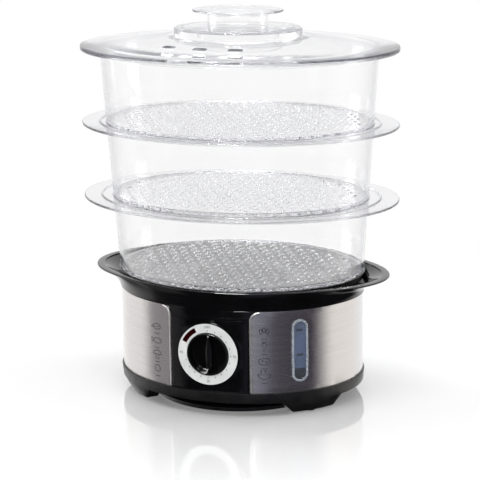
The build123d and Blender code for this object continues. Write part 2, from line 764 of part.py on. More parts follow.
def apron():
    """Tongue of the rim that comes down between the steel's round corners, over the panel."""
    low, high = panel_top_z + 2 * panel_gap, steel_top_z + past
    skin_wall = panel_out_x - housing_half_x - fit_gap
    skin = oval_tube(panel_out_x, panel_out_y, skin_wall, low, steel_top_z - skin_gap)
    root = oval_tube(panel_out_x, panel_out_y, panel_wall, steel_top_z - skin_gap, high)
    return (skin + root) & front_box(panel_half_width - panel_gap, low, high)


def make_water_tank():
    """Black tank: bowl, deck, flared rim with two pouring ears, skirt, bosses and gauge duct."""
    shell = tank_rim() - oval_block(skirt_half_x, skirt_half_y, steel_top_z, deck_under_z)
    shell += oval_tube(skirt_half_x, skirt_half_y, skirt_wall, steel_top_z - skirt_depth, deck_under_z)
    channel_low = tank_deck_z - trough_depth
    shell += trough(tank_wall, skirt_half_x, skirt_half_y, channel_low - tank_wall, deck_under_z)
    shell += bowl(tank_wall, tank_under_z, deck_under_z)
    shell += duct_box(gauge_width / 2 + gauge_flange_grow, tank_under_z, gauge_high_z + gauge_flange_grow,
                      duct_depth, duct_end)
    shell += gauge_slot(gauge_flange_grow, duct_end + tank_wall, duct_end)
    for x, y in boss_points():
        shell += cylinder(x, y, pan_top_z + skin_gap, deck_under_z, boss_radius)
    shell -= bowl(0, tank_floor_z, tank_deck_z)
    shell -= duct_box(gauge_width / 2 - gauge_shell, tank_floor_z, gauge_high_z - gauge_shell,
                      duct_depth, duct_end)
    shell -= trough(0, skirt_half_x - past, skirt_half_y - past, channel_low, tank_deck_z)
    shell -= cylinder(0, bowl_back, tank_under_z, tank_floor_z, heater_radius + heater_hole_gap)
    for x, y in boss_points():
        shell -= cylinder(x, y, pan_top_z, pan_top_z + screw_bite + past, screw_radius)
    return shell + apron()


def make_heater_plate():
    """Cast heater with its sealing flange, stud and two terminals."""
    flange_low = tank_floor_z + heater_seal
    heater = cylinder(0, bowl_back, heater_low_z, flange_low, heater_radius)
    heater += cylinder(0, bowl_back, flange_low, flange_low + heater_flange, heater_flange_radius)
    heater += cylinder(0, bowl_back, heater_low_z - stud_length, heater_low_z, stud_radius)
    for side in (-1, 1):
        tab = Pos(side * tab_place[0], bowl_back + side * tab_place[1], heater_low_z - tab_length / 2)
        heater += tab * Box(tab_thickness, tab_width, tab_length)
    return heater


def make_heater_seal():
    """Silicone ring between the heater's flange and the tank's floor."""
    high = tank_floor_z + heater_seal
    ring = cylinder(0, bowl_back, tank_floor_z, high, heater_flange_radius)
    return ring - cylinder(0, bowl_back, tank_floor_z, high, heater_radius + heater_hole_gap)


def make_heater_bracket():
    """Bent strip that clamps the heater up against the tank's floor."""
    low = heater_low_z - bracket_strip
    strip = Pos(0, bowl_back, low + bracket_strip / 2)
    strip *= Box(2 * bracket_half_length, bracket_width, bracket_strip)
    leg = Pos(bracket_half_length - bracket_strip / 2, bowl_back, (low + tank_under_z) / 2)
    strip += mirrored(leg * Box(bracket_strip, bracket_width, tank_under_z - low))
    return strip - cylinder(0, bowl_back, low, heater_low_z, stud_radius)


def make_heater_nut():
    """Nut on the heater's stud."""
    high = heater_low_z - bracket_strip
    flats = Pos(0, bowl_back, high - nut_height) * RegularPolygon(nut_size / 2, 6, major_radius=False)
    return extrude(flats, nut_height) - cylinder(0, bowl_back, high - nut_height, high, stud_radius)


def make_thermostat():
    """Round thermostat under the heater."""
    y = bowl_back + bracket_width / 2 + thermostat_radius + thermostat_gap
    low = heater_low_z - thermostat_height
    body = cylinder(0, y, low, heater_low_z, thermostat_radius)
    tab = Pos(thermostat_radius / 2, y, low - thermostat_tab_length / 2)
    return body + mirrored(tab * Box(tab_thickness, tab_width, thermostat_tab_length))


def make_thermal_fuse():
    """Thermal fuse in its clip under the heater."""
    y = bowl_back - bracket_width / 2 - fuse_gap
    fuse = Pos(0, y, heater_low_z - fuse_radius) * Rot(0, 90, 0) * Cylinder(fuse_radius, fuse_length)
    return fuse + Pos(0, y, heater_low_z - fuse_radius / 2) * Box(*fuse_clip, fuse_radius)


def make_terminal_block():
    """Terminal block on the pan's floor, with its clamp openings."""
    x, y = terminal_place
    long, wide, high = terminal_size
    block = Pos(x, y, pan_top_z + high / 2) * Box(long, wide, high)
    for way in range(terminal_ways):
        place = x + long * ((way + 0.5) / terminal_ways - 0.5)
        block -= cylinder(place, y, pan_top_z + high / 2, pan_top_z + high, terminal_screw_radius)
        block -= Pos(place, y, pan_top_z + high / 4) * Rot(90, 0, 0) * Cylinder(terminal_wire_radius, wide)
    return block


# ---------------------------------------------------------------- steam ring and drip tray
def make_steam_ring():
    """Loose ring that stands round the heater and gathers the steam, slotted at its foot."""
    low = tank_floor_z + seat_gap
    ring = cylinder(0, bowl_back, low, steam_ring_top_z, steam_ring_radius)
    ring -= cylinder(0, bowl_back, low, steam_ring_top_z, steam_ring_radius - steam_ring_wall)
    slot = Pos(steam_ring_radius, 0, low + steam_slot_height / 2)
    slot *= Box(4 * steam_ring_wall, steam_slot_width, steam_slot_height)
    for step in range(steam_slots):
        ring -= Pos(0, bowl_back) * Rot(0, 0, 360 * step / steam_slots) * slot
    return ring


def make_drip_tray():
    """Black tray under the lowest basket, with a raised steam opening in the middle."""
    wall, floor_z = tray_wall, tray_low_z + tray_floor
    body = oval_cone((tray_half_x - tray_taper, tray_half_y - tray_taper, tray_low_z),
                     (tray_half_x, tray_half_y, tray_knee_z))
    body += oval_block(tray_half_x, tray_half_y, tray_knee_z, tray_top_z)
    body += oval_block(tray_rim_x, tray_rim_y, tray_top_z - tray_rim, tray_top_z)
    body -= oval_cone((tray_half_x - tray_taper - wall, tray_half_y - tray_taper - wall, floor_z),
                      (tray_half_x - wall, tray_half_y - wall, tray_knee_z))
    body -= oval_block(tray_half_x - wall, tray_half_y - wall, tray_knee_z, tray_top_z)
    chimney_top_z = tray_low_z + chimney_height
    body += oval_block(chimney_half_x, chimney_half_y, tray_low_z, chimney_top_z)
    return body - oval_block(chimney_half_x - wall, chimney_half_y - wall, tray_low_z, chimney_top_z)


# ---------------------------------------------------------------- baskets
def hole_points(half_x, half_y):
    """Centres of the steam holes: offset rows inside an oval."""
    row_step = hole_pitch * sin(radians(60))
    rows = int(half_y / row_step)
    columns = int(half_x / hole_pitch) + 1
    points = []
    for row in range(-rows, rows + 1):
        for column in range(-columns, columns + 1):
            x, y = (column + row % 2 / 2) * hole_pitch, row * row_step
            if (x / half_x) ** 2 + (y / half_y) ** 2 < 1:
                points.append((x, y))
    return points


def make_basket(level):
    """Clear basket: sloping wall, holed floor, locating collar and a wide eared flange."""
    seat, top = seats_z[level], seats_z[level + 1] - skin_gap
    low_x, low_y = stack_size(seat)
    high_x, high_y = stack_size(top)
    basket = oval_cone((low_x, low_y, seat), (high_x, high_y, top))
    basket += oval_block(flange_half_x, flange_half_y, top - flange_thickness, top)
    if level < basket_count - 1:
        basket += oval_tube(bead_half_x, bead_half_y, bead_width, top, top + bead_height)
    floor_top = seat + basket_floor
    floor_x, floor_y = stack_size(floor_top)
    basket -= oval_cone((floor_x - basket_wall, floor_y - basket_wall, floor_top),
                        (high_x - basket_wall, high_y - basket_wall, top))
    collar_x, collar_y = low_x - basket_wall - collar_gap, low_y - basket_wall - collar_gap
    basket += oval_tube(collar_x, collar_y, collar_wall, seat - collar_drop, seat)
    holes = [Pos(x, y, seat) * Circle(hole_radius)
             for x, y in hole_points(collar_x - hole_margin, collar_y - hole_margin)]
    return basket - extrude(Sketch() + holes, basket_floor)


# ---------------------------------------------------------------- lid
def make_vent(turn_degrees):
    """Upright cut for one steam vent, along the dome."""
    turn = radians(turn_degrees)
    x = (dome_half_x + (turret_half_x - dome_half_x) * vent_share) * sin(turn)
    y = -(dome_half_y + (turret_half_y - dome_half_y) * vent_share) * cos(turn)
    lean = degrees(atan2(x / dome_half_x ** 2, -y / dome_half_y ** 2))
    vent = Pos(x, y, lid_seat_z) * Rot(0, 0, lean) * SlotOverall(vent_length, vent_width)
    return extrude(vent, turret_top_z - lid_seat_z)


def make_lid():
    """Clear lid: eared flange, low dome with steam vents, and a turret for the knob."""
    collar_x, collar_y = stack_top_x - basket_wall - collar_gap, stack_top_y - basket_wall - collar_gap
    collar_low_z = lid_seat_z - collar_drop
    lid = oval_block(flange_half_x, flange_half_y, lid_seat_z, lid_flange_top_z)
    lid += oval_cone((dome_half_x, dome_half_y, lid_flange_top_z), (turret_half_x, turret_half_y, turret_low_z))
    lid += oval_block(turret_half_x, turret_half_y, turret_low_z, turret_top_z)
    lid += oval_block(collar_x, collar_y, collar_low_z, lid_seat_z)
    lid -= oval_block(collar_x - collar_wall, collar_y - collar_wall, collar_low_z, lid_seat_z)
    lid -= oval_cone((dome_half_x - dome_wall, dome_half_y - dome_wall, lid_seat_z),
                     (turret_half_x - dome_wall, turret_half_y - dome_wall, turret_low_z - dome_wall))
    lid -= oval_block(turret_half_x - dome_wall, turret_half_y - dome_wall,
                      turret_low_z - dome_wall, turret_under_z)
    lid += oval_tube(drip_ring_half_x, drip_ring_half_y, dome_wall, drip_ring_low_z, turret_under_z)
    for turn in vent_turns:
        lid -= make_vent(turn)
    return lid


def make_lid_knob():
    """Clear knob: hollow oval stem under a thin oval disc."""
    knob = oval_block(stem_half_x, stem_half_y, turret_top_z, knob_cone_z)
    knob += oval_cone((stem_half_x, stem_half_y, knob_cone_z),
                      (knob_disc_half_x, knob_disc_half_y, knob_edge_z))
    knob += oval_block(knob_disc_half_x, knob_disc_half_y, knob_edge_z, knob_top_z)
    return knob - oval_block(stem_half_x - stem_wall, stem_half_y - stem_wall,
                             turret_top_z, knob_top_z - stem_wall)


# ---------------------------------------------------------------- write every node
makers = {
    "base_pan": make_base_pan,
    "foot_pads": make_foot_pads,
    "cord_hub": make_cord_hub,
    "cord_gland": make_cord_gland,
    "base_screws": make_base_screws,
    "hub_screws": make_hub_screws,
    "housing": make_housing,
    "steel_band": make_steel_band,
    "front_panel": make_front_panel,
    "dial_ring": make_dial_ring,
    "lamp_lens": make_lamp_lens,
    "indicator_lamp": make_indicator_lamp,
    "timer_body": make_timer_body,
    "timer_bell": make_timer_bell,
    "timer_screws": make_timer_screws,
    "timer_shaft": make_timer_shaft,
    "timer_knob": make_timer_knob,
    "gauge_lens": make_gauge_lens,
    "gauge_gasket": make_gauge_gasket,
    "water_tank": make_water_tank,
    "heater_plate": make_heater_plate,
    "heater_seal": make_heater_seal,
    "heater_bracket": make_heater_bracket,
    "heater_nut": make_heater_nut,
    "thermostat": make_thermostat,
    "thermal_fuse": make_thermal_fuse,
    "terminal_block": make_terminal_block,
    "steam_ring": make_steam_ring,
    "drip_tray": make_drip_tray,
    "lid": make_lid,
    "lid_knob": make_lid_knob,
}
for name, maker in makers.items():
    save(maker(), name)
for level, name in enumerate(("basket_lower", "basket_middle", "basket_upper")):
    save(make_basket(level), name)
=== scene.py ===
# %% [markdown]
# # An electric food steamer
# An oval steamer: a steel and black base that boils water, a drip tray, three clear baskets and a
# clear lid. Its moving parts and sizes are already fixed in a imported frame, so this script only
# makes the looks: it builds finer meshes where they show, and a finish for every surface.

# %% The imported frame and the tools
from math import atan2, cos, pi, radians, sin, sqrt

import bmesh
import bpy
from mathutils import Matrix, Vector


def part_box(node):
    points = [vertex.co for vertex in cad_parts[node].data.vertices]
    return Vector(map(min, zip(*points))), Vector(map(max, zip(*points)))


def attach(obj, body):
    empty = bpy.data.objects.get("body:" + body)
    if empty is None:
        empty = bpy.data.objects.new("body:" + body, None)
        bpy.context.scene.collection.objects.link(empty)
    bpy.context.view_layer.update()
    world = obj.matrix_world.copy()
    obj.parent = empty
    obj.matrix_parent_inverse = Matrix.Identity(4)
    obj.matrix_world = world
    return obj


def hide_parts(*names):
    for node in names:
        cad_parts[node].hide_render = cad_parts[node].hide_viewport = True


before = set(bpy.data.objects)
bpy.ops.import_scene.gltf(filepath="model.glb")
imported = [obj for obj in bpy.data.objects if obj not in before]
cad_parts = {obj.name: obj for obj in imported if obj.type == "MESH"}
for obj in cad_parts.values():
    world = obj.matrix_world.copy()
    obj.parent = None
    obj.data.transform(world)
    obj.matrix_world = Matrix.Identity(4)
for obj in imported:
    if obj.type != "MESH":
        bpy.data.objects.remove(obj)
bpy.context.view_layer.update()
scene = bpy.context.scene
MM = 0.001

# %% [markdown]
# ## Sizes that everything shares
# Every level of this steamer is an oval about one upright axis. The sizes below are read from the
# frame, so a new piece lies exactly where the old plain one was. Front is -Y and up is +Z.

# %% Sizes read from the frame
# A box is its low and its high corner, and about the middle the high one has the half sizes.
steel_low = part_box("steel_band")[0].z
body_x, body_y, steel_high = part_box("steel_band")[1]
rim_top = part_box("water_tank")[1].z
flange_x, flange_y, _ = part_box("lid")[1]
tray_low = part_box("drip_tray")[0].z
collar_mm, gap_mm = 6.0, 0.2  # a collar's depth below its seat, and the air between two levels
seats = [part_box(f"basket_{name}")[0].z + collar_mm * MM for name in ("lower", "middle", "upper")]
lid_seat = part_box("basket_upper")[1].z + gap_mm * MM
knob_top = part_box("lid_knob")[1].z
print("body", round(body_x / MM, 1), round(body_y / MM, 1), "seats", [round(z / MM, 1) for z in seats])

# %% [markdown]
# ## Camera
# A long lens from a little above shows the base's front and lets the eye see over each rim. The
# camera's place is given by its turn round the object, its distance and its height.

# %% Camera
camera_turn = radians(19.495)  # to the right of straight ahead
camera_away = 1.7693
camera_height = 0.5768
camera_slide = -0.00084  # sideways, across the line of sight
camera_pitch = radians(13.665)
camera_roll = radians(-0.794)
picture_side = 480
focal_pixels = 1881.3


def new_object(name, data):
    """Puts an object into the scene."""
    made = bpy.data.objects.new(name, data)
    scene.collection.objects.link(made)
    return made


camera = new_object("camera", bpy.data.cameras.new("camera"))
scene.camera = camera
camera.data.sensor_width = 36.0
camera.data.lens = camera.data.sensor_width * focal_pixels / picture_side
camera.data.clip_end = 50.0
away = Vector((sin(camera_turn), -cos(camera_turn), 0))
across = Vector((cos(camera_turn), sin(camera_turn), 0))
camera.location = away * camera_away + across * camera_slide + Vector((0, 0, camera_height))
turn = Matrix.Rotation(camera_turn, 4, "Z") @ Matrix.Rotation(pi / 2 - camera_pitch, 4, "X")
camera.matrix_world = Matrix.Translation(camera.location) @ turn @ Matrix.Rotation(camera_roll, 4, "Z")
print("lens", round(camera.data.lens, 1), "mm")

# %% [markdown]
# ## Floor and light
# The steamer stands on a polished white floor in a white room. Both look white because of their own
# colour, not because of strong lamps. A curved steel wall and a glossy black one are read by
# what they mirror, so the room that only mirrors see is drawn with care: white screens to the left, the
# right and behind, a dark room in front, and one small lamp above the front.

# %% Helpers for colour and nodes
def linear(colour):
    """An sRGB hex colour, such as "#1a1b1c", as the linear values that a shader takes."""
    channels = [int(colour[place:place + 2], 16) / 255 for place in (1, 3, 5)]
    return (*[c / 12.92 if c <= 0.04045 else ((c + 0.055) / 1.055) ** 2.4 for c in channels], 1.0)


def add(tree, kind, inputs=None, **settings):
    """Adds one node. inputs stores a value in a socket, or links another node's socket to it."""
    node = tree.nodes.new(kind)
    for name, value in settings.items():
        setattr(node, name, value)
    for name, value in (inputs or {}).items():
        if isinstance(value, bpy.types.NodeSocket):
            tree.links.new(value, node.inputs[name])
        else:
            node.inputs[name].default_value = value
    return node


def calc(tree, operation, first, second):
    """Result of one operation on two numbers or sockets."""
    return add(tree, "ShaderNodeMath", {0: first, 1: second}, operation=operation).outputs[0]


def mixed(tree, share, first, second):
    """Colour between two colours or sockets, by a share of 0 to 1."""
    return add(tree, "ShaderNodeMix", {0: share, 6: first, 7: second}, data_type="RGBA").outputs[2]


def layered(tree, share, under, over):
    """Shader node between two others, by a share of 0 to 1."""
    return add(tree, "ShaderNodeMixShader", {0: share, 1: under.outputs[0], 2: over.outputs[0]})


def new_material(name, settings):
    """Material, its node tree and its one shader, with some of the shader's inputs set."""
    material = bpy.data.materials.new(name)
    material.use_nodes = True
    shader = material.node_tree.nodes["Principled BSDF"]
    for key, value in settings.items():
        shader.inputs[key].default_value = value
    return material, material.node_tree, shader


# %% White floor
straight_rays = ("Is Camera Ray", "Is Transmission Ray")


def any_of(tree, *kinds):
    """1 for a ray of any of these kinds, else 0."""
    path = add(tree, "ShaderNodeLightPath")
    either = path.outputs[kinds[0]]
    for kind in kinds[1:]:
        either = calc(tree, "MAXIMUM", either, path.outputs[kind])
    return either


def fade(tree, value, near, far, at_near, at_far, way="SMOOTHSTEP"):
    """Turns a value from near to far into one from at_near to at_far. Beyond, it stays at these ends."""
    ends = {"Value": value, "From Min": near, "From Max": far, "To Min": at_near, "To Max": at_far}
    return add(tree, "ShaderNodeMapRange", ends, interpolation_type=way).outputs[0]


def white_floor():
    """Polished white: it keeps a shadow and a faint mirror image near the object, and is plain far off."""
    material, tree, lit = new_material("white_floor", {"Base Color": linear("#eaeaea"), "Roughness": 0.6})
    place = add(tree, "ShaderNodeTexCoord").outputs["Object"]
    ahead = add(tree, "ShaderNodeVectorMath", {0: place, 1: tuple(away)}, operation="DOT_PRODUCT")
    distance = add(tree, "ShaderNodeVectorMath", {0: place}, operation="LENGTH")
    mirror = fade(tree, ahead.outputs["Value"], near=0.06, far=0.42, at_near=0.45, at_far=0.0)
    lit = layered(tree, mirror, lit, add(tree, "ShaderNodeBsdfGlossy", {"Roughness": 0.03}))
    plain = fade(tree, distance.outputs["Value"], near=0.18, far=0.6, at_near=0.15, at_far=1.0)
    amount = calc(tree, "MULTIPLY", any_of(tree, *straight_rays), plain)
    white = add(tree, "ShaderNodeEmission", {"Color": linear("#ffffff"), "Strength": 1.0})
    both = layered(tree, amount, lit, white)
    tree.links.new(both.outputs[0], tree.nodes["Material Output"].inputs["Surface"])
    return material


bm = bmesh.new()
bmesh.ops.create_grid(bm, x_segments=1, y_segments=1, size=4.0)
mesh = bpy.data.meshes.new("floor")
bm.to_mesh(mesh)
bm.free()
mesh.materials.append(white_floor())
floor = new_object("floor", mesh)
floor.visible_glossy = False  # mirrors see the screens below, not the floor

# %% The room that mirrors see
# Each screen reaches from one direction to another, in degrees to the right of straight ahead of the front,
# and the gaps between screens are soft. Overhead the room is white all round, and underfoot it is dark.
white, warm_white, dark = "#f2f2f2", "#f4f0ec", "#1a1a1d"
screens_round = {
    "left half of the back": (-180, -130, white),
    "left screen": (-120, -84, "#ecebea"),
    "left curtain": (-74, -47, "#8c878a"),
    "dark room": (-38, 4, dark),
    "cool card": (9, 22, "#686978"),
    "right curtain": (31, 72, "#3e3a45"),
    "right screen": (94, 140, warm_white),
    "right half of the back": (150, 180, white),
}

world = bpy.data.worlds.new("studio")
scene.world = world
world.use_nodes = True
tree = world.node_tree
tree.nodes.clear()
place = add(tree, "ShaderNodeTexCoord")
turned = add(tree, "ShaderNodeMapping", {"Vector": place.outputs["Generated"], "Rotation": (0, 0, pi / 2)})
around = add(tree, "ShaderNodeTexGradient", {"Vector": turned.outputs[0]}, gradient_type="RADIAL")
ramp = add(tree, "ShaderNodeValToRGB", {"Fac": around.outputs["Fac"]})
stops = ramp.color_ramp.elements
edges = [(turn / 360 + 0.5, colour) for start, end, colour in screens_round.values()
         for turn in (start, end)]
stops[0].color, stops[1].color = linear(edges[0][1]), linear(edges[-1][1])
for position, colour in edges[1:-1]:
    stops.new(position).color = linear(colour)
height = add(tree, "ShaderNodeSeparateXYZ", {0: place.outputs["Generated"]}).outputs["Z"]
screens = ramp.outputs["Color"]
overhead, underfoot = (0.55, 0.8, 0, 1, "#f4f4f4"), (-0.65, -0.45, 1, 0, "#181719")
for near, far, low, high, colour in (overhead, underfoot):
    screens = mixed(tree, fade(tree, height, near, far, low, high), screens, linear(colour))
lit = add(tree, "ShaderNodeBackground", {"Color": linear("#ffffff"), "Strength": 0.75})
mirrored = add(tree, "ShaderNodeBackground", {"Color": screens, "Strength": 1.25})
bright = add(tree, "ShaderNodeBackground", {"Color": linear("#ffffff"), "Strength": 1.0})
sky = layered(tree, any_of(tree, "Is Glossy Ray"), lit, mirrored)
sky = layered(tree, any_of(tree, *straight_rays), sky, bright)
add(tree, "ShaderNodeOutputWorld", {"Surface": sky.outputs[0]})
print("screens:", len(screens_round))

# %% Lamps
aim = Vector((0, 0, 0.15))  # the spot on the axis that every lamp points at


def soft_lamp(name, turn, rise, distance, width, height, power, mirrored=False):
    """Rectangular soft lamp that faces the object, to the right of its front and above it, in degrees.
    It either lights the object or is only mirrored in it."""
    lamp = bpy.data.lights.new(name, "AREA")
    lamp.shape = "RECTANGLE"
    lamp.size, lamp.size_y, lamp.energy = width, height, power
    made = new_object(name, lamp)
    turn, rise = radians(turn), radians(rise)
    way = Vector((sin(turn) * cos(rise), -cos(turn) * cos(rise), sin(rise)))
    made.location = way * distance + aim
    made.rotation_mode = "QUATERNION"
    made.rotation_quaternion = (-way).to_track_quat("-Z", "Y")
    made.visible_glossy, made.visible_diffuse = mirrored, not mirrored


side_lamp = {"rise": 22, "distance": 1.8, "width": 0.6, "height": 1.4, "power": 14.0}
soft_lamp("left_lamp", turn=-100, **side_lamp)
soft_lamp("right_lamp", turn=110, **side_lamp)
soft_lamp("top_lamp", turn=0, rise=75, distance=1.8, width=1.2, height=1.0, power=14.0)
soft_lamp("front_lamp", turn=-6, rise=48, distance=1.6, width=0.55, height=0.32, power=45.0, mirrored=True)
print("lamps:", len(bpy.data.lights))

# %% [markdown]
# ## Finishes
# Each finish is made from the process behind it. A moulded part has a faint waviness and a fine
# grain, drawn or rolled metal has lines, and a casting has a pebbled skin. Patterns are laid out in
# millimetres of the object's own space, so they keep their size on every piece.

# %% Finish helper
def noise(tree, size_mm, detail=2.0, stretch=(1, 1, 1)):
    """Cloudy pattern, 0 to 1, whose patches are about size_mm wide, or wider where the stretch is small."""
    place = add(tree, "ShaderNodeTexCoord").outputs["Object"]
    place = add(tree, "ShaderNodeMapping", {"Vector": place, "Scale": stretch}).outputs[0]
    settings = {"Vector": place, "Scale": 1 / (size_mm * MM), "Detail": detail}
    return add(tree, "ShaderNodeTexNoise", settings).outputs["Fac"]


def spread(tree, value, low, high):
    """A pattern's 0 to 1 as low to high. Most of a noise lies between 0.3 and 0.7."""
    return fade(tree, value, 0.3, 0.7, low, high, "LINEAR")


def two_tone(tree, value, dark, light):
    """Colour between two by a pattern's 0 to 1."""
    return mixed(tree, spread(tree, value, 0, 1), linear(dark), linear(light))


def grain_up(tree, shader, pattern, depth_mm):
    """Lets a pattern stand up from the surface, by a depth in millimetres."""
    bump = add(tree, "ShaderNodeBump", {"Height": pattern, "Distance": depth_mm * MM, "Strength": 1.0})
    tree.links.new(bump.outputs[0], shader.inputs["Normal"])


def finish(name, dark, light, rough, patch_mm, grain_mm, grain_depth_mm, **settings):
    """A finish: two close tones in patches, a range of roughness, and a grain that stands up a little."""
    material, tree, shader = new_material(name, settings)
    patches = noise(tree, patch_mm, 3.0)
    tree.links.new(two_tone(tree, patches, dark, light), shader.inputs["Base Color"])
    tree.links.new(spread(tree, patches, *rough), shader.inputs["Roughness"])
    grain_up(tree, shader, noise(tree, grain_mm), grain_depth_mm)
    return material


# %% Opaque finishes
# Each has two tones, a range of roughness, then its patches, its grain and the grain's depth in millimetres.
gloss_black = finish("moulded_abs_gloss_black", "#060607", "#0b0b0d", (0.05, 0.1), 30, 7, 0.012)
satin_black = finish("moulded_pp_satin_black", "#0d0d0f", "#161618", (0.32, 0.44), 12, 0.5, 0.02)
rubber = finish("moulded_rubber", "#161616", "#1f1e1d", (0.7, 0.85), 5, 0.6, 0.03)
silicone = finish("moulded_silicone", "#a9a79f", "#bab8b0", (0.45, 0.6), 6, 0.8, 0.02)
zinc_steel = finish("zinc_plated_steel", "#8f9396", "#b0b2b0", (0.22, 0.4), 3, 0.4, 0.01, Metallic=1.0)
timer_can = finish("pressed_tin_plate", "#a3a29c", "#bdbcb6", (0.2, 0.34), 8, 0.8, 0.01, Metallic=1.0)
bell_metal = finish("plated_bell_metal", "#a98a52", "#c4a56c", (0.15, 0.28), 6, 0.7, 0.01, Metallic=1.0)
heater_cast = finish("cast_aluminium", "#8b8c8f", "#a5a6a8", (0.35, 0.55), 4, 0.7, 0.05, Metallic=1.0)
ceramic = finish("glazed_steatite", "#d2cdc0", "#e0dcd0", (0.18, 0.3), 5, 1.0, 0.01)
nylon = finish("moulded_nylon", "#cdc6b4", "#dad4c4", (0.4, 0.55), 5, 0.6, 0.02)
dial_print = finish("printed_dial_plate", "#cfd1d0", "#dcdedd", (0.35, 0.45), 9, 0.5, 0.01)
print("materials so far:", len(bpy.data.materials))

# %% [markdown]
# ## Brushed steel
# The band is stainless sheet, brushed along its length and then bent to the oval. The brush leaves
# fine level lines, which blur a reflection up and down and leave it sharp from side to side. So the
# steel mirrors the room's screens as upright bars with crisp edges.

# %% Brushed steel
def brushed_steel():
    """Steel with fine level lines and wide faint ones."""
    material, tree, shader = new_material(
        "brushed_stainless_sheet", {"Metallic": 1.0, "Anisotropic": 0.75, "Anisotropic Rotation": 0.25})
    tangent = add(tree, "ShaderNodeTangent", direction_type="RADIAL", axis="Z")
    tree.links.new(tangent.outputs[0], shader.inputs["Tangent"])
    lines = noise(tree, 0.35, 3.0, (0.012, 0.012, 1.0))
    wide = noise(tree, 2.2, 2.0, (0.01, 0.01, 1.0))
    mean = calc(tree, "MULTIPLY", calc(tree, "ADD", lines, wide), 0.5)
    tree.links.new(two_tone(tree, mean, "#d2d0cf", "#d7d5d4"), shader.inputs["Base Color"])
    tree.links.new(spread(tree, mean, 0.3, 0.24), shader.inputs["Roughness"])
    grain_up(tree, shader, lines, 0.0011)
    return material


steel = brushed_steel()
print("finish:", steel.name)

# %% [markdown]
# ## Clear plastic
# The baskets and the lid are moulded in clear plastic. Seen square on it is almost invisible, and
# seen along the wall it is grey, because the view goes through far more of it. A lamp's light goes
# through with hardly any loss, so what stands below a basket isn't left in the dark. The plastic
# also takes a little light inside, so a rim that is looked at along its own sheet draws a grey line.

# %% Clear plastic
def clear_plastic(name, square, edge, roughness, kept="#ffffff", taken_per_m=0.0):
    """Clear plastic with one tint where it is seen square on and another where the view grazes it. Inside it
    light turns to the colour kept, the further it runs the more. Shadows cross it almost whole."""
    material, tree, shader = new_material(name, {"Transmission Weight": 1.0, "IOR": 1.49})
    output = tree.nodes["Material Output"]
    facing = add(tree, "ShaderNodeLayerWeight", {"Blend": 0.5}).outputs["Facing"]
    tint = mixed(tree, calc(tree, "POWER", facing, 4.0), linear(square), linear(edge))
    tree.links.new(tint, shader.inputs["Base Color"])
    waves = noise(tree, 9)
    tree.links.new(spread(tree, waves, roughness, roughness * 2.5), shader.inputs["Roughness"])
    grain_up(tree, shader, waves, 0.03)
    shadow = add(tree, "ShaderNodeBsdfTransparent", {"Color": linear("#f4f5f6")})
    both = layered(tree, any_of(tree, "Is Shadow Ray"), shader, shadow)
    tree.links.new(both.outputs[0], output.inputs["Surface"])
    if taken_per_m:
        inside = add(tree, "ShaderNodeVolumeAbsorption", {"Color": linear(kept), "Density": taken_per_m})
        tree.links.new(inside.outputs[0], output.inputs["Volume"])
    return material


clear = clear_plastic("moulded_clear_san", "#ffffff", "#6c6e7c", 0.01, "#6c6f86", 6.5)
# For the vents' walls: rough like a spark-eroded tool face, and tinted dark grey, which is painted shade.
frosted_clear_painted_shade = clear_plastic("spark_eroded_clear_san_painted_shade", "#3f4146", "#2a2b2f", 0.3)
gauge_clear = clear_plastic("moulded_gauge_window", "#dfe8f0", "#9fb0c0", 0.03)
lamp_red = clear_plastic("moulded_red_window", "#a3150f", "#4a0705", 0.06)
lamp_glass = clear_plastic("neon_bulb_glass", "#ffe9dc", "#d8b8a8", 0.01)

# %% Finishes for the frame's own nodes
coats = {
    gloss_black: ("housing", "front_panel", "water_tank", "timer_knob", "drip_tray"),
    satin_black: ("base_pan", "cord_hub", "steam_ring"),
    rubber: ("foot_pads", "cord_gland"),
    silicone: ("gauge_gasket", "heater_seal"),
    zinc_steel: ("base_screws", "hub_screws", "timer_screws", "timer_shaft", "heater_bracket", "heater_nut",
                 "thermal_fuse"),
    timer_can: ("timer_body",),
    bell_metal: ("timer_bell",),
    heater_cast: ("heater_plate",),
    ceramic: ("thermostat",),
    nylon: ("terminal_block",),
    dial_print: ("dial_ring",),
    steel: ("steel_band",),
    clear: ("basket_lower", "basket_middle", "basket_upper", "lid", "lid_knob"),
    gauge_clear: ("gauge_lens",),
    lamp_red: ("lamp_lens",),
    lamp_glass: ("indicator_lamp",),
}
for material, names in coats.items():
    for name in names:
        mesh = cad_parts[name].data
        mesh.materials.clear()
        mesh.materials.append(material)
print("nodes with a finish:", sum(len(names) for names in coats.values()))

# %% [markdown]
# ## Oval mouldings
# The tray, the baskets and the lid are all ovals whose size changes with height. Each is drawn as a
# ring, which is extruded from one level to the next and then rounded at its corners, much as a mould
# maker turns the pattern and then breaks its edges.

# %% Helpers for oval mouldings
ROUND = 160  # corners of a large ring


def mesh_of(name, bm, material):
    """Turns a closed bmesh into a mesh with one finish."""
    bmesh.ops.recalc_face_normals(bm, faces=bm.faces)
    mesh = bpy.data.meshes.new(name)
    bm.to_mesh(mesh)
    bm.free()
    mesh.materials.append(material)
    return mesh


def shade(mesh):
    """Smooth faces with sharp edges between them."""
    mesh.shade_smooth()
    mesh.set_sharp_from_angle(angle=radians(40))


def piece(name, bm, material, body, *stands_for, weighted=True):
    """Piece that rides on a body and stands for the frame's plain nodes."""
    mesh = mesh_of(name, bm, material)
    shade(mesh)
    made = new_object(name, mesh)
    if weighted:
        made.modifiers.new("even shading", "WEIGHTED_NORMAL").keep_sharp = True
    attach(made, body)
    if stands_for:
        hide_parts(*stands_for)
    print(name, len(mesh.polygons), "faces")
    return made


def number_ring(edges, mark, number):
    """Stores a ring's number on its edges, where there is a layer for it."""
    if mark is not None:
        for edge in edges:
            edge[mark] = number
    return edges


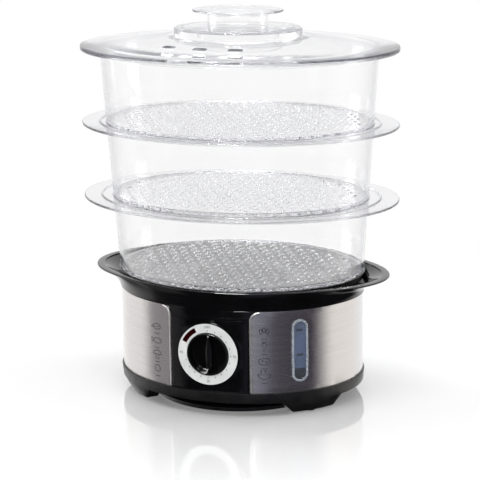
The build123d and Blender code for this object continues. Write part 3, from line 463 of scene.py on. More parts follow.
def first_ring(bm, half_x, half_y, z, corners, mark=None):
    """Oval ring of edges. Its number can be stored on them, so that they can be found again."""
    made = bmesh.ops.create_circle(bm, cap_ends=False, radius=1.0, segments=corners)["verts"]
    bmesh.ops.scale(bm, vec=(half_x, half_y, 1), verts=made)
    bmesh.ops.translate(bm, vec=(0, 0, z), verts=made)
    return number_ring(list({edge for vert in made for edge in vert.link_edges}), mark, 1)


def extrude_ring(bm, edges, mark=None, number=0):
    """Extrudes a ring on the spot. Returns the new ring's corners and its edges."""
    made = bmesh.ops.extrude_edge_only(bm, edges=edges)["geom"]
    verts = [item for item in made if isinstance(item, bmesh.types.BMVert)]
    inside = set(verts)
    edges = [item for item in made if isinstance(item, bmesh.types.BMEdge)
             and item.verts[0] in inside and item.verts[1] in inside]
    return verts, number_ring(edges, mark, number)


def rings_of(levels, corners=ROUND):
    """Mesh through a ring at the (half_x, half_y, z) of each level, in millimetres.
    Returns it with the layer of its ring numbers, the first ring and the last."""
    sizes = [tuple(value * MM for value in level) for level in levels]
    bm = bmesh.new()
    mark = bm.edges.layers.int.new("ring")
    edges = first = first_ring(bm, *sizes[0], corners, mark)
    for number, (size, before) in enumerate(zip(sizes[1:], sizes), start=2):
        verts, edges = extrude_ring(bm, edges, mark, number)
        bmesh.ops.scale(bm, vec=(size[0] / before[0], size[1] / before[1], 1), verts=verts)
        bmesh.ops.translate(bm, vec=(0, 0, size[2] - before[2]), verts=verts)
    return bm, mark, first, edges


def round_rings(bm, mark, rounds, steps=3):
    """Rounds the rings with the given numbers: {number: radius in millimetres}."""
    for number, radius in rounds.items():
        edges = [edge for edge in bm.edges if edge[mark] == number and len(edge.link_faces) == 2]
        made = bmesh.ops.bevel(bm, geom=edges, offset=radius * MM, segments=steps, profile=0.5,
                               affect="EDGES", material=-1)
        for edge in made["edges"]:
            edge[mark] = 0


def smaller(oval, inset):
    """Half sizes of an oval, less an inset."""
    return tuple(half - inset for half in oval)


def step_in(bm, faces, steps):
    """Insets faces and raises them, by each (width, rise) in millimetres."""
    for width, rise in steps:
        bmesh.ops.inset_region(bm, faces=faces, thickness=width * MM, depth=rise * MM, use_even_offset=True)


# %% [markdown]
# ## Baskets
# A basket's wall slopes out a little so that the moulding leaves its tool and nests when turned. The
# wall flows into the floor, which is full of steam holes with small pips between them. The flange
# carries a bead that keeps the next basket in place, and the collar below drops into the level below.

# %% Sizes of the stack, in millimetres
rim_x, rim_y = round(flange_x / MM, 3), round(flange_y / MM, 3)
seat_z = [z / MM for z in seats]
lid_z = lid_seat / MM
wall_mm, floor_mm, flange_mm, collar_wall = 2.0, 2.0, 2.3, 1.6
collar_gap = 0.6  # air between a collar and the wall round it
stack_low, stack_grow = (120.2, 95.84), (0.0700, 0.0560)  # at the lowest seat, and per millimetre above it
bead_out, bead_wide, bead_high = (137.47, 106.51), 2.0, 1.3
hole_mm, pitch_mm = 2.5, 13.0  # a steam hole's radius, and the distance between two
hole_margin = 9.0  # the holes' middles stay this far inside the collar


def stack_oval(z, inset=0.0):
    """Half sizes of the stack's outside at a height, less an inset, with that height."""
    rise = z - seat_z[0]
    return (stack_low[0] + stack_grow[0] * rise - inset, stack_low[1] + stack_grow[1] * rise - inset, z)


def lattice(half_x, half_y, shift_x=0.0, shift_y=0.0):
    """Places of a honeycomb of holes inside an oval, row by row."""
    row_step = pitch_mm * sin(radians(60))
    rows, columns = int(half_y / row_step), int(half_x / pitch_mm) + 1
    places = [((column + row % 2 / 2) * pitch_mm + shift_x, row * row_step + shift_y)
              for row in range(-rows, rows + 1) for column in range(-columns, columns + 1)]
    return [(x, y) for x, y in places if (x / half_x) ** 2 + (y / half_y) ** 2 < 1]


def pull(bm, edges, rise, grow=1.0):
    """Extrudes a ring by a height in millimetres and a change of size. Returns the new ring."""
    verts, edges = extrude_ring(bm, edges)
    bmesh.ops.scale(bm, vec=(grow, grow, 1), verts=verts)
    bmesh.ops.translate(bm, vec=(0, 0, rise * MM), verts=verts)
    return edges


def stamp(bm, small, places):
    """Adds a small bmesh at each place in plan, in millimetres."""
    mesh = bpy.data.meshes.new("stamp")
    small.to_mesh(mesh)
    small.free()
    at_x, at_y = 0.0, 0.0
    for x, y in places:
        mesh.transform(Matrix.Translation(((x - at_x) * MM, (y - at_y) * MM, 0)))
        at_x, at_y = x, y
        bm.from_mesh(mesh)
    bpy.data.meshes.remove(mesh)


def open_edges(bm, z):
    """Edges at a height with a face on one side only."""
    return [edge for edge in bm.edges
            if len(edge.link_faces) < 2 and all(abs(vert.co.z - z * MM) < 0.01 * MM for vert in edge.verts)]


def holed_floor(bm, top_z, under_z, half_x, half_y):
    """Fills a floor between the open rings at two heights, with steam holes through it and pips on it."""
    chamfer = 0.35
    hole = bmesh.new()
    ring = first_ring(hole, *[size * MM for size in (hole_mm + chamfer, hole_mm + chamfer, top_z)], 14)
    ring = pull(hole, ring, -chamfer, hole_mm / (hole_mm + chamfer))
    pull(hole, ring, under_z - top_z + chamfer)
    stamp(bm, hole, lattice(half_x, half_y))
    pip = bmesh.new()
    ring = first_ring(pip, *[size * MM for size in (1.5, 1.5, top_z)], 10)
    for rise, grow in ((0.45, 0.84), (0.25, 0.55)):
        ring = pull(pip, ring, rise, grow)
    bmesh.ops.contextual_create(pip, geom=ring)
    stamp(bm, pip, lattice(half_x, half_y, pitch_mm / 2, pitch_mm * 0.2887))  # amid three holes
    for z, up in ((top_z, 1), (under_z, -1)):
        bmesh.ops.triangle_fill(bm, edges=open_edges(bm, z), use_beauty=True, normal=(0, 0, up))


# %% Three baskets
def clear_basket(level, name):
    """One basket of the stack. The highest one has no bead, because the lid's flange covers its flange."""
    seat, top = seat_z[level], (seat_z[level + 1] if level < 2 else lid_z) - gap_mm
    floor_z, flange_low, collar_low = seat + floor_mm, top - flange_mm, seat - collar_mm
    floor_curve = 2.2  # where the floor flows into the wall
    collar = smaller(smaller(stack_oval(seat)[:2], wall_mm), collar_gap)
    collar_in = smaller(collar, collar_wall)
    levels = [  # ring 1 and on
        stack_oval(floor_z, wall_mm + floor_curve),
        (*stack_oval(floor_z, wall_mm + 0.7)[:2], floor_z + 0.6),
        stack_oval(floor_z + floor_curve, wall_mm),
        stack_oval(top, wall_mm),  # ring 4, the wall's top
    ]
    bead = level < 2
    if bead:  # rings 5 to 8
        bead_in = smaller(bead_out, bead_wide)
        levels += [(*bead_in, top), (*bead_in, top + bead_high), (*bead_out, top + bead_high),
                   (*bead_out, top)]
    edge = len(levels) + 1  # the flange's upper edge
    levels += [(rim_x, rim_y, top), (rim_x, rim_y, flange_low), stack_oval(flange_low), stack_oval(seat),
               (*collar, seat), (*collar, collar_low), (*collar_in, collar_low), (*collar_in, seat)]
    bm, mark, *_ = rings_of(levels)
    # the wall's top, the flange's two edges and its root, the wall's foot, and the collar's two edges
    rounds = {4: 0.7, edge: 1.0, edge + 1: 1.0, edge + 2: 1.4, edge + 3: 0.8, edge + 5: 0.5, edge + 6: 0.5}
    if bead:
        rounds.update({6: 0.6, 7: 0.6, 8: 0.5})
    round_rings(bm, mark, rounds)
    holed_floor(bm, floor_z, seat, *smaller(collar, hole_margin))
    return piece(name, bm, clear, name, name)


for level, name in enumerate(("basket_lower", "basket_middle", "basket_upper")):
    clear_basket(level, name)

# %% [markdown]
# ## Lid and its knob
# The lid's dome is low and a little rounded, so that drips run to its edge and not onto the food. It
# rises to a turret with a ring inside it for the steam. The knob is a hollow oval stem under a thin
# dished disc, so that a thumb fits on it and fingers under it.

# %% Lid
turret, drip_ring, drip_wall = (62.0, 50.0), (40.0, 32.0), 2
turret_foot_z, turret_z = lid_z + 10.4, lid_z + 18.8
dome_foot, dome_foot_z = (133.95, 98.96), lid_z + 2.0
lid_collar, lid_wall = (132.55, 105.2), 2.0


def dome_level(share, inset=0.0, drop=0.0):
    """Oval of the dome, from the turret's foot at 0 to the flange at 1."""
    half = [foot + (edge - foot) * share - inset for foot, edge in zip(turret, dome_foot)]
    return (*half, turret_foot_z - (turret_foot_z - dome_foot_z) * share ** 1.5 - drop)


dome_shares = (0.12, 0.3, 0.5, 0.7, 0.88)
dome_inset = 2.2  # how far the dome's inside is drawn in
levels = [(*turret, turret_z), (*turret, turret_foot_z)]
levels += [dome_level(share) for share in dome_shares]
levels += [dome_level(1.0), (rim_x, rim_y, dome_foot_z), (rim_x, rim_y, lid_z)]
flange_number = len(levels) - 1
collar_low, collar_in = lid_z - collar_mm, smaller(lid_collar, collar_wall)
levels += [(*lid_collar, lid_z), (*lid_collar, collar_low), (*collar_in, collar_low), (*collar_in, lid_z)]
levels += [dome_level(share, dome_inset, lid_wall) for share in reversed(dome_shares)]
under, under_z = smaller(turret, lid_wall), turret_z - lid_wall
drip_in, drip_low = smaller(drip_ring, drip_wall), turret_foot_z - 3.2
levels += [(*under, turret_foot_z - lid_wall), (*under, under_z), (*drip_ring, under_z),
           (*drip_ring, drip_low), (*drip_in, drip_low), (*drip_in, under_z)]
bm, mark, first, last = rings_of(levels)
bmesh.ops.contextual_create(bm, geom=last)
top = bmesh.ops.contextual_create(bm, geom=first)["faces"]
step_in(bm, top, ((2.2, 0.0), (1.2, 0.5), (3.0, 0.0), (1.2, -0.5)))
round_rings(bm, mark, {1: 1.4, 2: 1.0, flange_number - 1: 1.2, flange_number: 0.9, flange_number + 1: 0.9,
                       flange_number + 3: 0.5, flange_number + 4: 0.5})
lid = piece("lid", bm, clear, "lid", "lid", weighted=False)

# %% Steam vents, cut through the dome
vent_turns, vent_share, vent_size = (-25.5, -6.0, 13.5), 0.47, (14.0, 7.0)


def upright_slot(bm, x, y, lean, long, wide, low, high):
    """Upright block with round ends, turned in plan. All sizes in millimetres, the turn in radians."""
    made = bmesh.ops.create_circle(bm, cap_ends=True, radius=wide / 2 * MM, segments=24)["verts"]
    for side in (-1, 1):
        half = [vert for vert in made if side * vert.co.x > 0.001 * MM]
        bmesh.ops.translate(bm, vec=(side * (long - wide) / 2 * MM, 0, 0), verts=half)
    bmesh.ops.rotate(bm, cent=(0, 0, 0), matrix=Matrix.Rotation(lean, 3, "Z"), verts=made)
    bmesh.ops.translate(bm, vec=(x * MM, y * MM, low * MM), verts=made)
    faces = list({face for vert in made for face in vert.link_faces})
    top = bmesh.ops.extrude_face_region(bm, geom=faces)["geom"]
    moved = [item for item in top if isinstance(item, bmesh.types.BMVert)]
    bmesh.ops.translate(bm, vec=(0, 0, (high - low) * MM), verts=moved)


def combine(target, block, how="DIFFERENCE"):
    """Cuts a block out of a piece, or joins it on. The faces that this makes get the block's finish."""
    cutter = new_object("cutter", block)
    change = target.modifiers.new("cut", "BOOLEAN")
    change.object, change.operation, change.solver = cutter, how, "EXACT"
    change.material_mode = "TRANSFER"
    bpy.context.view_layer.update()
    made = bpy.data.meshes.new_from_object(target.evaluated_get(bpy.context.evaluated_depsgraph_get()))
    target.modifiers.clear()
    target.data = made
    bpy.data.objects.remove(cutter)
    shade(made)


bm = bmesh.new()
for turn in vent_turns:
    angle = radians(turn)
    x = (dome_foot[0] + (turret[0] - dome_foot[0]) * vent_share) * sin(angle)
    y = -(dome_foot[1] + (turret[1] - dome_foot[1]) * vent_share) * cos(angle)
    lean = atan2(x / dome_foot[0] ** 2, -y / dome_foot[1] ** 2)
    upright_slot(bm, x, y, lean, *vent_size, lid_z, turret_z)
# The vents' walls take the dark frosted finish, which paints shade into them.
combine(lid, mesh_of("vents", bm, frosted_clear_painted_shade))
print("lid:", len(lid.data.polygons), "faces after its vents")

# %% Lid knob
stem, disc, knob_skin = (29.4, 23.5), (44.0, 35.2), 1.8
top_z = knob_top / MM
stem_z = turret_z + 0.03  # keeps the stem's foot off the lid's face
disc_low, stem_in = top_z - knob_skin, smaller(stem, knob_skin)
levels = [(*disc, top_z), (*disc, disc_low), (*stem, top_z - 3.6), (*stem, stem_z), (*stem_in, stem_z),
          (*stem_in, disc_low)]
bm, mark, first, last = rings_of(levels, corners=96)
bmesh.ops.contextual_create(bm, geom=last)
top = bmesh.ops.contextual_create(bm, geom=first)["faces"]
step_in(bm, top, ((2.6, 0.0), (1.5, 0.6), (9.0, 0.1)))
round_rings(bm, mark, {1: 0.8, 2: 0.8, 3: 2.0, 4: 0.4, 6: 1.2})
piece("lid_knob", bm, clear, "lid", "lid_knob")

# %% [markdown]
# ## Water tank
# The tank, its deck and its flared rim are one black moulding. Two ears stand out at the sides to
# pour water into while the baskets are on, and they melt into the rim without an edge. The bowl below
# the deck keeps the frame's own mesh, since it is plain and lies inside.

# %% Rim with ears
def polar(half_x, half_y, angle):
    """Distance from the middle of an oval to its edge, in one direction."""
    return 1 / sqrt((cos(angle) / half_x) ** 2 + (sin(angle) / half_y) ** 2)


def eared_ring(edges, rim, ear, z, ear_z):
    """Moves a ring of unit size to the larger of two ovals in every direction, blended where they meet."""
    blend = 9.0
    for vert in {vert for edge in edges for vert in edge.verts}:
        angle = atan2(vert.co.y, vert.co.x)
        near, far = polar(*rim, angle), polar(*ear, angle)
        soft = max(blend - abs(near - far), 0) / blend
        reach = max(near, far) + soft * soft * blend / 4
        share = min(max((far - near) / blend + 0.5, 0), 1)
        vert.co = (reach * cos(angle) * MM, reach * sin(angle) * MM, (z + (ear_z - z) * share) * MM)


def between(low, high, share):
    """Value at a share of the way from low to high."""
    return low + (high - low) * share


def oval_between(low, high, share_x, share_y):
    """Oval on the way from low to high, with a share for each half size."""
    return between(low[0], high[0], share_x), between(low[1], high[1], share_y)


steel_z, rim_z, deck_z = steel_high / MM + 0.2, rim_top / MM, tray_low / MM - 0.3
flare_z, ear_low_z, ear_top_z = rim_z - 3.4, rim_z - 1.6, rim_z - 0.4
join_z = steel_z - 0.15  # where the rim meets the bowl
# Each level has an oval for the rim and one for the ears.
foot_rim, foot_ear = (119.5, 95.6), (119.0, 84.0)  # outside, above the steel
edge_rim, edge_ear = (123.8, 99.4), (147.0, 89.0)  # outside, at the top
lip_rim, lip_ear = (122.0, 97.6), (139.5, 81.5)  # inside, at the top
deck_rim, deck_ear = (120.5, 96.1), (117.0, 76.5)  # inside, at the deck
bowl_back, bowl_top, bowl_join, apron_in = 8.2, (100.0, 61.8), (99.6, 61.4), (116.0, 92.1)
levels = []  # rim oval, ear oval, height of each
for share in (0.0, 0.12, 0.25, 0.38, 0.5, 0.62, 0.74, 0.85, 0.94, 1.0):
    z = between(steel_z, ear_low_z, share)
    rise = min((z - steel_z) / (flare_z - steel_z), 1)
    levels.append((oval_between(foot_rim, edge_rim, rise, rise),
                   oval_between(foot_ear, edge_ear, share ** 2.2, share), z, z))
outer_count = len(levels)
levels += [(edge_rim, edge_ear, rim_z, ear_top_z), (lip_rim, lip_ear, rim_z, ear_top_z)]
for share in (1.0, 0.8, 0.6, 0.4, 0.2, 0.0):
    z = between(deck_z, ear_low_z, share)
    levels.append((oval_between(deck_rim, lip_rim, share, share),
                   oval_between(deck_ear, lip_ear, share ** 1.3, share ** 0.7), z, z))
bm = bmesh.new()
mark = bm.edges.layers.int.new("ring")
edges = first = first_ring(bm, 1.0, 1.0, 0.0, 240, mark)
for number, level in enumerate(levels, start=1):
    if number > 1:
        edges = extrude_ring(bm, edges, mark, number)[1]
    eared_ring(edges, *level)
# The deck runs in to the bowl's edge and a little down, and the underside runs out to the apron.
for (half_x, half_y), z, back in ((bowl_top, deck_z, bowl_back), (bowl_join, join_z, bowl_back),
                                  (apron_in, join_z, 0.0)):
    verts, edges = extrude_ring(bm, edges)
    for vert in verts:
        angle = atan2(vert.co.y / half_y, vert.co.x / half_x) if back == 0 else atan2(vert.co.y, vert.co.x)
        vert.co = (half_x * cos(angle) * MM, (half_y * sin(angle) + back) * MM, z * MM)
bmesh.ops.bridge_loops(bm, edges=first + edges)
round_rings(bm, mark, {1: 0.4, outer_count + 1: 1.1, outer_count + 2: 0.4}, steps=5)
tank_rim = piece("tank_rim", bm, gloss_black, "base", "water_tank", weighted=False)

# %% Troughs that lead the poured water into the bowl
trough_x, trough_low, trough_size = 106.7, deck_z - 5.5, (19.0, 28.0, 8.0)
bm = bmesh.new()
for side in (-1, 1):
    made = bmesh.ops.create_cube(bm, size=1.0)["verts"]
    bmesh.ops.scale(bm, vec=[size * MM for size in trough_size], verts=made)
    bmesh.ops.translate(bm, vec=(side * trough_x * MM, 0, (trough_low + trough_size[2] / 2) * MM), verts=made)
combine(tank_rim, mesh_of("troughs", bm, gloss_black))

# %% Bowl, from the frame's own mesh below the rim
def cut_level(bm, z, **cleared):
    """Cuts a mesh level at a height, and clears one side of the cut."""
    bmesh.ops.bisect_plane(bm, geom=[*bm.verts, *bm.edges, *bm.faces], plane_co=(0, 0, z * MM),
                           plane_no=(0, 0, 1), **cleared)


bm = bmesh.new()
bm.from_mesh(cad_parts["water_tank"].data)
bmesh.ops.remove_doubles(bm, verts=bm.verts, dist=0.001 * MM)
cut_level(bm, join_z, clear_outer=True)
bmesh.ops.triangle_fill(bm, edges=open_edges(bm, join_z), use_beauty=False, normal=(0, 0, 1))
piece("tank_bowl", bm, gloss_black, "base", "water_tank")

# %% [markdown]
# ## Dial
# The dial is a printed plate. Its ink is a film that stands up a hair, so each mark is a very thin piece
# of its own: a dot for every three minutes, and a plain number for each quarter hour.

# %% Ink on the dial
dial_low, dial_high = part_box("dial_ring")
dial_z, dial_face_y = (dial_low.z + dial_high.z) / 2, dial_low.y
ink = finish("dial_ink", "#2b2d31", "#383a3f", (0.4, 0.5), 3, 0.4, 0.003)
ink_mm, dot_mm, number_mm = 0.05, 0.52, 3.4  # the film, a dot's radius, a number's height
dot_ring_mm, number_ring_mm = 22.9, 26.2
minute_turn = 6.0  # degrees of the dial for one minute


def curve_mesh(curve):
    """Mesh of a text or of bevelled lines."""
    drawn = bpy.data.objects.new(curve.name, curve)
    mesh = bpy.data.meshes.new_from_object(drawn)
    bpy.data.objects.remove(drawn)
    return mesh


def lettering(text, size_mm, depth_mm):
    """A word or number as a flat mesh about the origin, read from above, that is depth_mm thick."""
    curve = bpy.data.curves.new(text, "FONT")
    curve.body, curve.size, curve.extrude = text, size_mm * MM, depth_mm / 2 * MM
    curve.align_x, curve.align_y = "CENTER", "CENTER"
    return curve_mesh(curve)


def on_dial(turn, reach_mm):
    """Place on the dial's face, by its clockwise turn from the top, for a mesh that was drawn flat."""
    turn = radians(turn)
    spot = Vector((sin(turn) * reach_mm * MM, dial_face_y - ink_mm / 2 * MM,
                   dial_z + cos(turn) * reach_mm * MM))
    return Matrix.Translation(spot) @ Matrix.Rotation(pi / 2, 4, "X")


bm = bmesh.new()
for minute in range(0, 45, 3):
    bmesh.ops.create_cone(bm, cap_ends=True, segments=12, radius1=dot_mm * MM, radius2=dot_mm * MM,
                          depth=ink_mm * MM, matrix=on_dial(minute * minute_turn, dot_ring_mm))
for turn, text in ((0, "OFF"), (90, "15"), (180, "30"), (270, "45")):
    mesh = lettering(text, number_mm, ink_mm)
    mesh.transform(on_dial(turn, number_ring_mm))
    bm.from_mesh(mesh)
bmesh.ops.remove_doubles(bm, verts=bm.verts, dist=0.0005 * MM)
piece("dial_ink", bm, ink, "base")

# %% [markdown]
# ## Timer knob
# The knob is a shallow black cup with a boat-shaped grip across it, moulded in one. A white dot of
# pressed-in paint marks the end that points at the dial.

# %% Timer knob
knob_low, knob_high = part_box("timer_knob")
knob_radius, knob_back = (knob_high.x - knob_low.x) / 2 / MM, knob_high.y / MM
knob_deep = (knob_high.y - knob_low.y) / MM
knob_wall, knob_floor = 1.7, 2.6
knob_in = knob_radius - knob_wall
knob_foot = knob_in - 0.6  # the cup narrows a little towards its floor
levels = [(knob_radius, knob_radius, 0), (knob_radius, knob_radius, knob_deep), (knob_in, knob_in, knob_deep),
          (knob_foot, knob_foot, knob_floor)]
face_forward = Matrix.Translation((0, knob_back * MM, dial_z)) @ Matrix.Rotation(pi / 2, 4, "X")
bm, mark, first, last = rings_of(levels, corners=96)
bmesh.ops.contextual_create(bm, geom=first)
bmesh.ops.contextual_create(bm, geom=last)
round_rings(bm, mark, {1: 0.4, 2: 0.8, 3: 0.5, 4: 1.4})
bmesh.ops.transform(bm, matrix=face_forward, verts=bm.verts)
knob = piece("knob", bm, gloss_black, "timer_control", "timer_knob", weighted=False)

bm = bmesh.new()
made = bmesh.ops.create_uvsphere(bm, u_segments=64, v_segments=32, radius=1.0)["verts"]
grip_half, grip_long, grip_foot = 4.6, knob_in - 0.2, knob_floor - 1.0
grip_high = knob_deep - grip_foot - 0.1
for vert in made:  # keen at both ends, and full on top
    sharp = abs(vert.co.x) ** 1.25
    vert.co.x = (sharp if vert.co.x > 0 else -sharp) * grip_half * MM
    vert.co.y *= grip_long * MM
    vert.co.z = max(vert.co.z, 0) ** 0.7 * grip_high * MM + grip_foot * MM
bmesh.ops.remove_doubles(bm, verts=bm.verts, dist=0.001 * MM)
bmesh.ops.transform(bm, matrix=face_forward, verts=bm.verts)
combine(knob, mesh_of("grip", bm, gloss_black), "UNION")

paint_mm, paint_deep = 0.6, 0.4
paint_place = Matrix.Translation((0, (knob_radius - 3.4) * MM, (knob_deep - 3.1) * MM))
bm = bmesh.new()
bmesh.ops.create_cone(bm, cap_ends=True, segments=20, radius1=paint_mm * MM, radius2=paint_mm * MM,
                      depth=paint_deep * MM, matrix=face_forward @ paint_place)
paint = finish("pressed_in_paint", "#e2e2de", "#eeeeea", (0.35, 0.45), 2, 0.3, 0.005)
piece("knob_dot", bm, paint, "timer_control")

# %% [markdown]
# ## Water gauge
# The gauge is a clear window with a thick rounded bezel, drawn opaque with painted glints, over a strip that
# shows the water's level. Its foot is painted dark as painted shade, and it has a mark for the lowest and the
# highest level.

# %% Water gauge
gauge_low, gauge_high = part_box("gauge_lens")
gauge_turn, gauge_wide = radians(43.0), 16.3
gauge_tall = (gauge_high.z - gauge_low.z) / MM - 5.6  # without its hidden flange
gauge_z = (gauge_low.z + gauge_high.z) / 2
out = Vector((sin(gauge_turn) / body_x, -cos(gauge_turn) / body_y, 0)).normalized()
foot = Vector((body_x * sin(gauge_turn), -body_y * cos(gauge_turn), gauge_z))
gauge_frame = Matrix.Translation(foot) @ Matrix((
    (0, -out.y, out.x, 0), (0, out.x, out.y, 0), (1, 0, 0, 0), (0, 0, 0, 1)))  # long way, across, outwards


def gauge_block(low, high, inset, steps=()):
    """Block with round ends, low to high above the steel. Its front is then inset and raised by each step."""
    bm = bmesh.new()
    upright_slot(bm, 0, 0, 0, gauge_tall - 2 * inset, gauge_wide - 2 * inset, low, high)
    bmesh.ops.recalc_face_normals(bm, faces=bm.faces)
    face = [face for face in bm.faces if face.normal.z > 0.9]
    step_in(bm, face, steps)
    bmesh.ops.transform(bm, matrix=gauge_frame, verts=bm.verts)
    return bm


# The bezel is clear plastic drawn opaque: its two tones stand for the glints and the dark of a thick clear
# edge, so they are painted highlight and painted shade.
gauge_edge_painted_glints = finish("window_edge_painted_glints", "#5d626b", "#aab0b8", (0.06, 0.16), 1.6, 1.3, 0.3)
gauge_strip = finish("printed_level_strip", "#454a60", "#545c78", (0.3, 0.4), 14, 0.6, 0.01)
# This dark is the ink of the level marks, and on the strip's foot it is painted shade.
gauge_ink_and_painted_shade = finish("level_ink_and_painted_shade", "#09090d", "#101016", (0.3, 0.4), 9, 0.6, 0.01)
bezel_steps = ((0.25, 0.45), (0.45, 0.28), (0.8, 0.1), (0.55, -0.3), (0.25, -0.45))
bezel_low, bezel_high, strip_low, strip_high, strip_inset = -0.9, 0.4, -1.6, -1.1, 1.6
bezel = gauge_block(bezel_low, bezel_high, 0.0, bezel_steps)
bezel = piece("gauge_window", bezel, gauge_edge_painted_glints, "base", "gauge_lens")
bezel.data.materials.append(gauge_clear)
pane = max(bezel.data.polygons, key=lambda face: (face.normal.dot(out) > 0.9) * face.area)
back = max(bezel.data.polygons, key=lambda face: (face.normal.dot(out) < -0.9) * face.area)
pane.material_index = back.material_index = 1

# The first height is where the painted shade at the strip's foot ends; then the printed marks' heights and
# size.
painted_shade_z, mark_heights, mark_size = 45.5, (58.5, 82.5), (2.2, 6.4, 0.05)
strip = gauge_block(strip_low, strip_high, strip_inset)
# The strip's upper part takes its print, and its foot the dark of painted shade.
for name, material, cleared in (("gauge_strip_high", gauge_strip, {"clear_inner": True}),
                                ("gauge_strip_low", gauge_ink_and_painted_shade, {"clear_outer": True})):
    part = strip.copy()
    cut_level(part, painted_shade_z, **cleared)
    bmesh.ops.holes_fill(part, edges=open_edges(part, painted_shade_z), sides=0)
    piece(name, part, material, "base")
strip.free()
bm = bmesh.new()
for mark_z in mark_heights:
    spot = Matrix.Translation((mark_z * MM - gauge_z, 0, (strip_high + mark_size[2]) * MM))
    size = Matrix.Diagonal((*[size * MM for size in mark_size], 1))
    bmesh.ops.create_cube(bm, size=1.0, matrix=gauge_frame @ spot @ size)
piece("gauge_marks", bm, gauge_ink_and_painted_shade, "base")

# %% [markdown]
# ## Hems and seam
# The steel is folded over at its ends beside the panel, so a thin round hem shows there and gathers the
# light of the whole room into one bright line. Two beads under the tank's apron mark the panel's top edge.

# %% Hems and seam
def front_bead(name, outlines, radius_mm, sunk_mm, material):
    """Round beads along lines of (x, z) in millimetres, laid on the oval front and partly sunk in it."""
    curve = bpy.data.curves.new(name, "CURVE")
    curve.dimensions, curve.bevel_depth, curve.bevel_resolution = "3D", radius_mm * MM, 2
    curve.use_fill_caps = True
    for outline in outlines:
        line = curve.splines.new("POLY")
        line.points.add(len(outline) - 1)
        for point, (x, z) in zip(line.points, outline):
            depth = (body_y - sunk_mm * MM) * sqrt(1 - (x * MM / body_x) ** 2)
            point.co = (x * MM, -depth, z * MM, 1)
    bm = bmesh.new()
    bm.from_mesh(curve_mesh(curve))
    return piece(name, bm, material, "base")


def arc(x, z, half_x, half_z, start=0, end=360, count=16):
    """Points of an oval arc, with angles in degrees anticlockwise from the right."""
    turns = [radians(start + (end - start) * step / count) for step in range(count + 1)]
    return [(x + half_x * cos(turn), z + half_z * sin(turn)) for turn in turns]


hem, side_x, corner, foot_corner = 1.1, 38.8, 9.0, 1.5  # the hem's radius, then the steel's opening
low_z, high_z = steel_low / MM + hem, steel_high / MM - hem
edge_x = side_x + hem
turned_in = corner - hem
outline = arc(side_x + corner, steel_high / MM - corner, turned_in, turned_in, 90, 180)
outline += [(edge_x, between(high_z - corner, low_z + foot_corner, step / 12)) for step in range(1, 12)]
outline += arc(side_x + foot_corner, steel_low / MM + foot_corner, 0.3, 0.3, 180, 270, 5)
mirrored_outline = [(-x, z) for x, z in outline]
hem_steel = finish("burnished_steel_hem", "#dedcda", "#ecebe9", (0.42, 0.5), 6, 0.6, 0.003, Metallic=1.0)
front_bead("steel_hems", [outline, mirrored_outline], hem, hem / 2, hem_steel)
seam_z, seam_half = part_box("front_panel")[1].z / MM, 37
seams = [[(x, seam_z + rise) for x in range(-seam_half, seam_half + 1, 2)] for rise in (0.5, -1.9)]
seam_mm, seam_sunk = 0.65, 0.45
front_bead("panel_seams", seams, seam_mm, seam_sunk, gloss_black)

# %% [markdown]
# ## Printed pictures
# Two columns of small line drawings stand beside the panel, one for each kind of food that has a time
# of its own. They are thin screen-printed lines, drawn here from arcs and straight strokes.

# %% Line drawings on the steel
DRAWN = 1.3  # the drawings' size against the strokes written below
rule = [(-2.0, -5.4), (2.0, -5.4)]  # the short line under each drawing


def strokes_at(x, z, *strokes):
    """Brings the strokes of a drawing to their size and place."""
    return [[(x + DRAWN * dx, z + DRAWN * dz) for dx, dz in stroke] for stroke in strokes]


fish = (arc(0.5, 0, 3.6, 1.9), [(-3.0, 0.3), (-5.0, 2.0), (-5.0, -2.0), (-3.0, -0.3)],
        arc(2.6, 0.5, 0.2, 0.2))
leaf = (arc(0, 2.6, 4.6, 4.8, 215, 325), arc(0, -2.8, 4.6, 4.8, 35, 145), [(-5.2, -1.0), (2.6, 0.3)])
egg = (arc(0, 0, 2.4, 1.9, 180, 360), arc(0, 0, 2.4, 3.2, 0, 180))
bowl = (arc(0, 1, 4.2, 3.6, 180, 360), [(-4.8, 1), (4.8, 1)], arc(-1.6, 3.4, 0.8, 1.2, 90, 270),
        arc(1.2, 3.4, 0.8, 1.2, 90, 270))
carrot = ([(-1.5, 2.2), (0, -4.2), (1.5, 2.2)], arc(0, 2.2, 1.5, 0.8, 0, 180), [(0, 3.0), (-1.6, 4.8)],
          [(0, 3.0), (1.6, 4.8)])
mushroom = (arc(0, 0.4, 3.8, 3.0, 0, 180), [(-3.8, 0.4), (3.8, 0.4)],
            [(-1.2, 0.4), (-1.4, -3.2), (1.4, -3.2), (1.2, 0.4)])
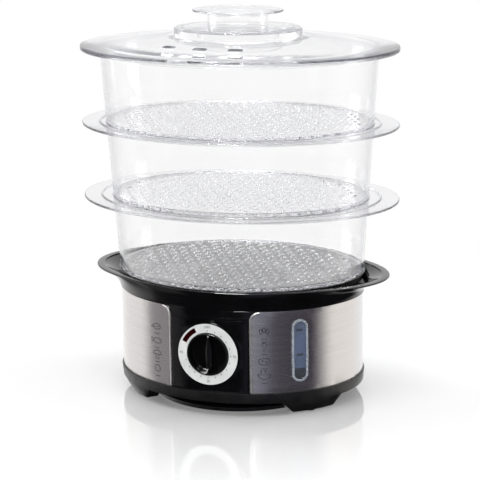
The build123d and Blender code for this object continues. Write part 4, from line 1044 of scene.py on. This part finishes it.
potato = (arc(0, 0, 3.9, 2.6), arc(-1.2, 0.6, 0.4, 0.3), arc(1.4, -0.4, 0.4, 0.3))
grain = (arc(-2.2, 0, 0.9, 2.0), arc(0, 1.0, 0.9, 2.0), arc(2.2, 0, 0.9, 2.0))
left_x, right_x = -55.5, 51.8
drawings = []
for x, column in ((left_x, ((79, leaf), (65, fish), (51, mushroom), (37, egg))),
                  (right_x, ((83, grain), (68, carrot), (54, potato), (40, bowl)))):
    for z, strokes in column:
        drawings += strokes_at(x, z, *strokes, rule)
steel_ink = finish("screen_print_ink", "#232228", "#2e2d34", (0.35, 0.5), 3, 0.4, 0.003)
line_mm, line_sunk = 0.42, 0.27  # so that a strip 0.64 mm wide shows and stands up 0.15 mm
front_bead("steel_print", drawings, line_mm, line_sunk, steel_ink)

# %% [markdown]
# ## Broken edges
# No moulded or pressed part has a knife edge. The frame's own pieces that still show get a small round
# on their edges, which is what catches a lamp's light as a thin bright line.

# %% Small rounds on the frame's own pieces
edge_rounds = {
    0.5: ("base_pan", "front_panel", "cord_hub", "steel_band"),
    0.3: ("drip_tray", "steam_ring", "timer_body", "timer_bell", "heater_plate", "terminal_block",
          "foot_pads"),
    0.2: ("dial_ring", "lamp_lens", "thermostat", "heater_bracket", "heater_nut", "base_screws",
          "hub_screws", "timer_screws"),
}
for radius, names in edge_rounds.items():
    for name in names:
        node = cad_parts[name]
        node.modifiers.new("join corners", "WELD").merge_threshold = 0.001 * MM
        rounded = node.modifiers.new("round edges", "BEVEL")
        rounded.width, rounded.segments = radius * MM, 3
        rounded.limit_method, rounded.angle_limit = "ANGLE", radians(35)
        rounded.harden_normals = True

# %% [markdown]
# ## Render paths
# A look through three baskets crosses more than twenty clear surfaces, and light runs along inside a
# clear flange by one glossy bounce after another, so more bounces are allowed.

# %% Render paths and colour
cycles = scene.cycles
cycles.max_bounces = cycles.transmission_bounces = cycles.glossy_bounces = 128
cycles.transparent_max_bounces = 128
scene.view_settings.view_transform = "Standard"
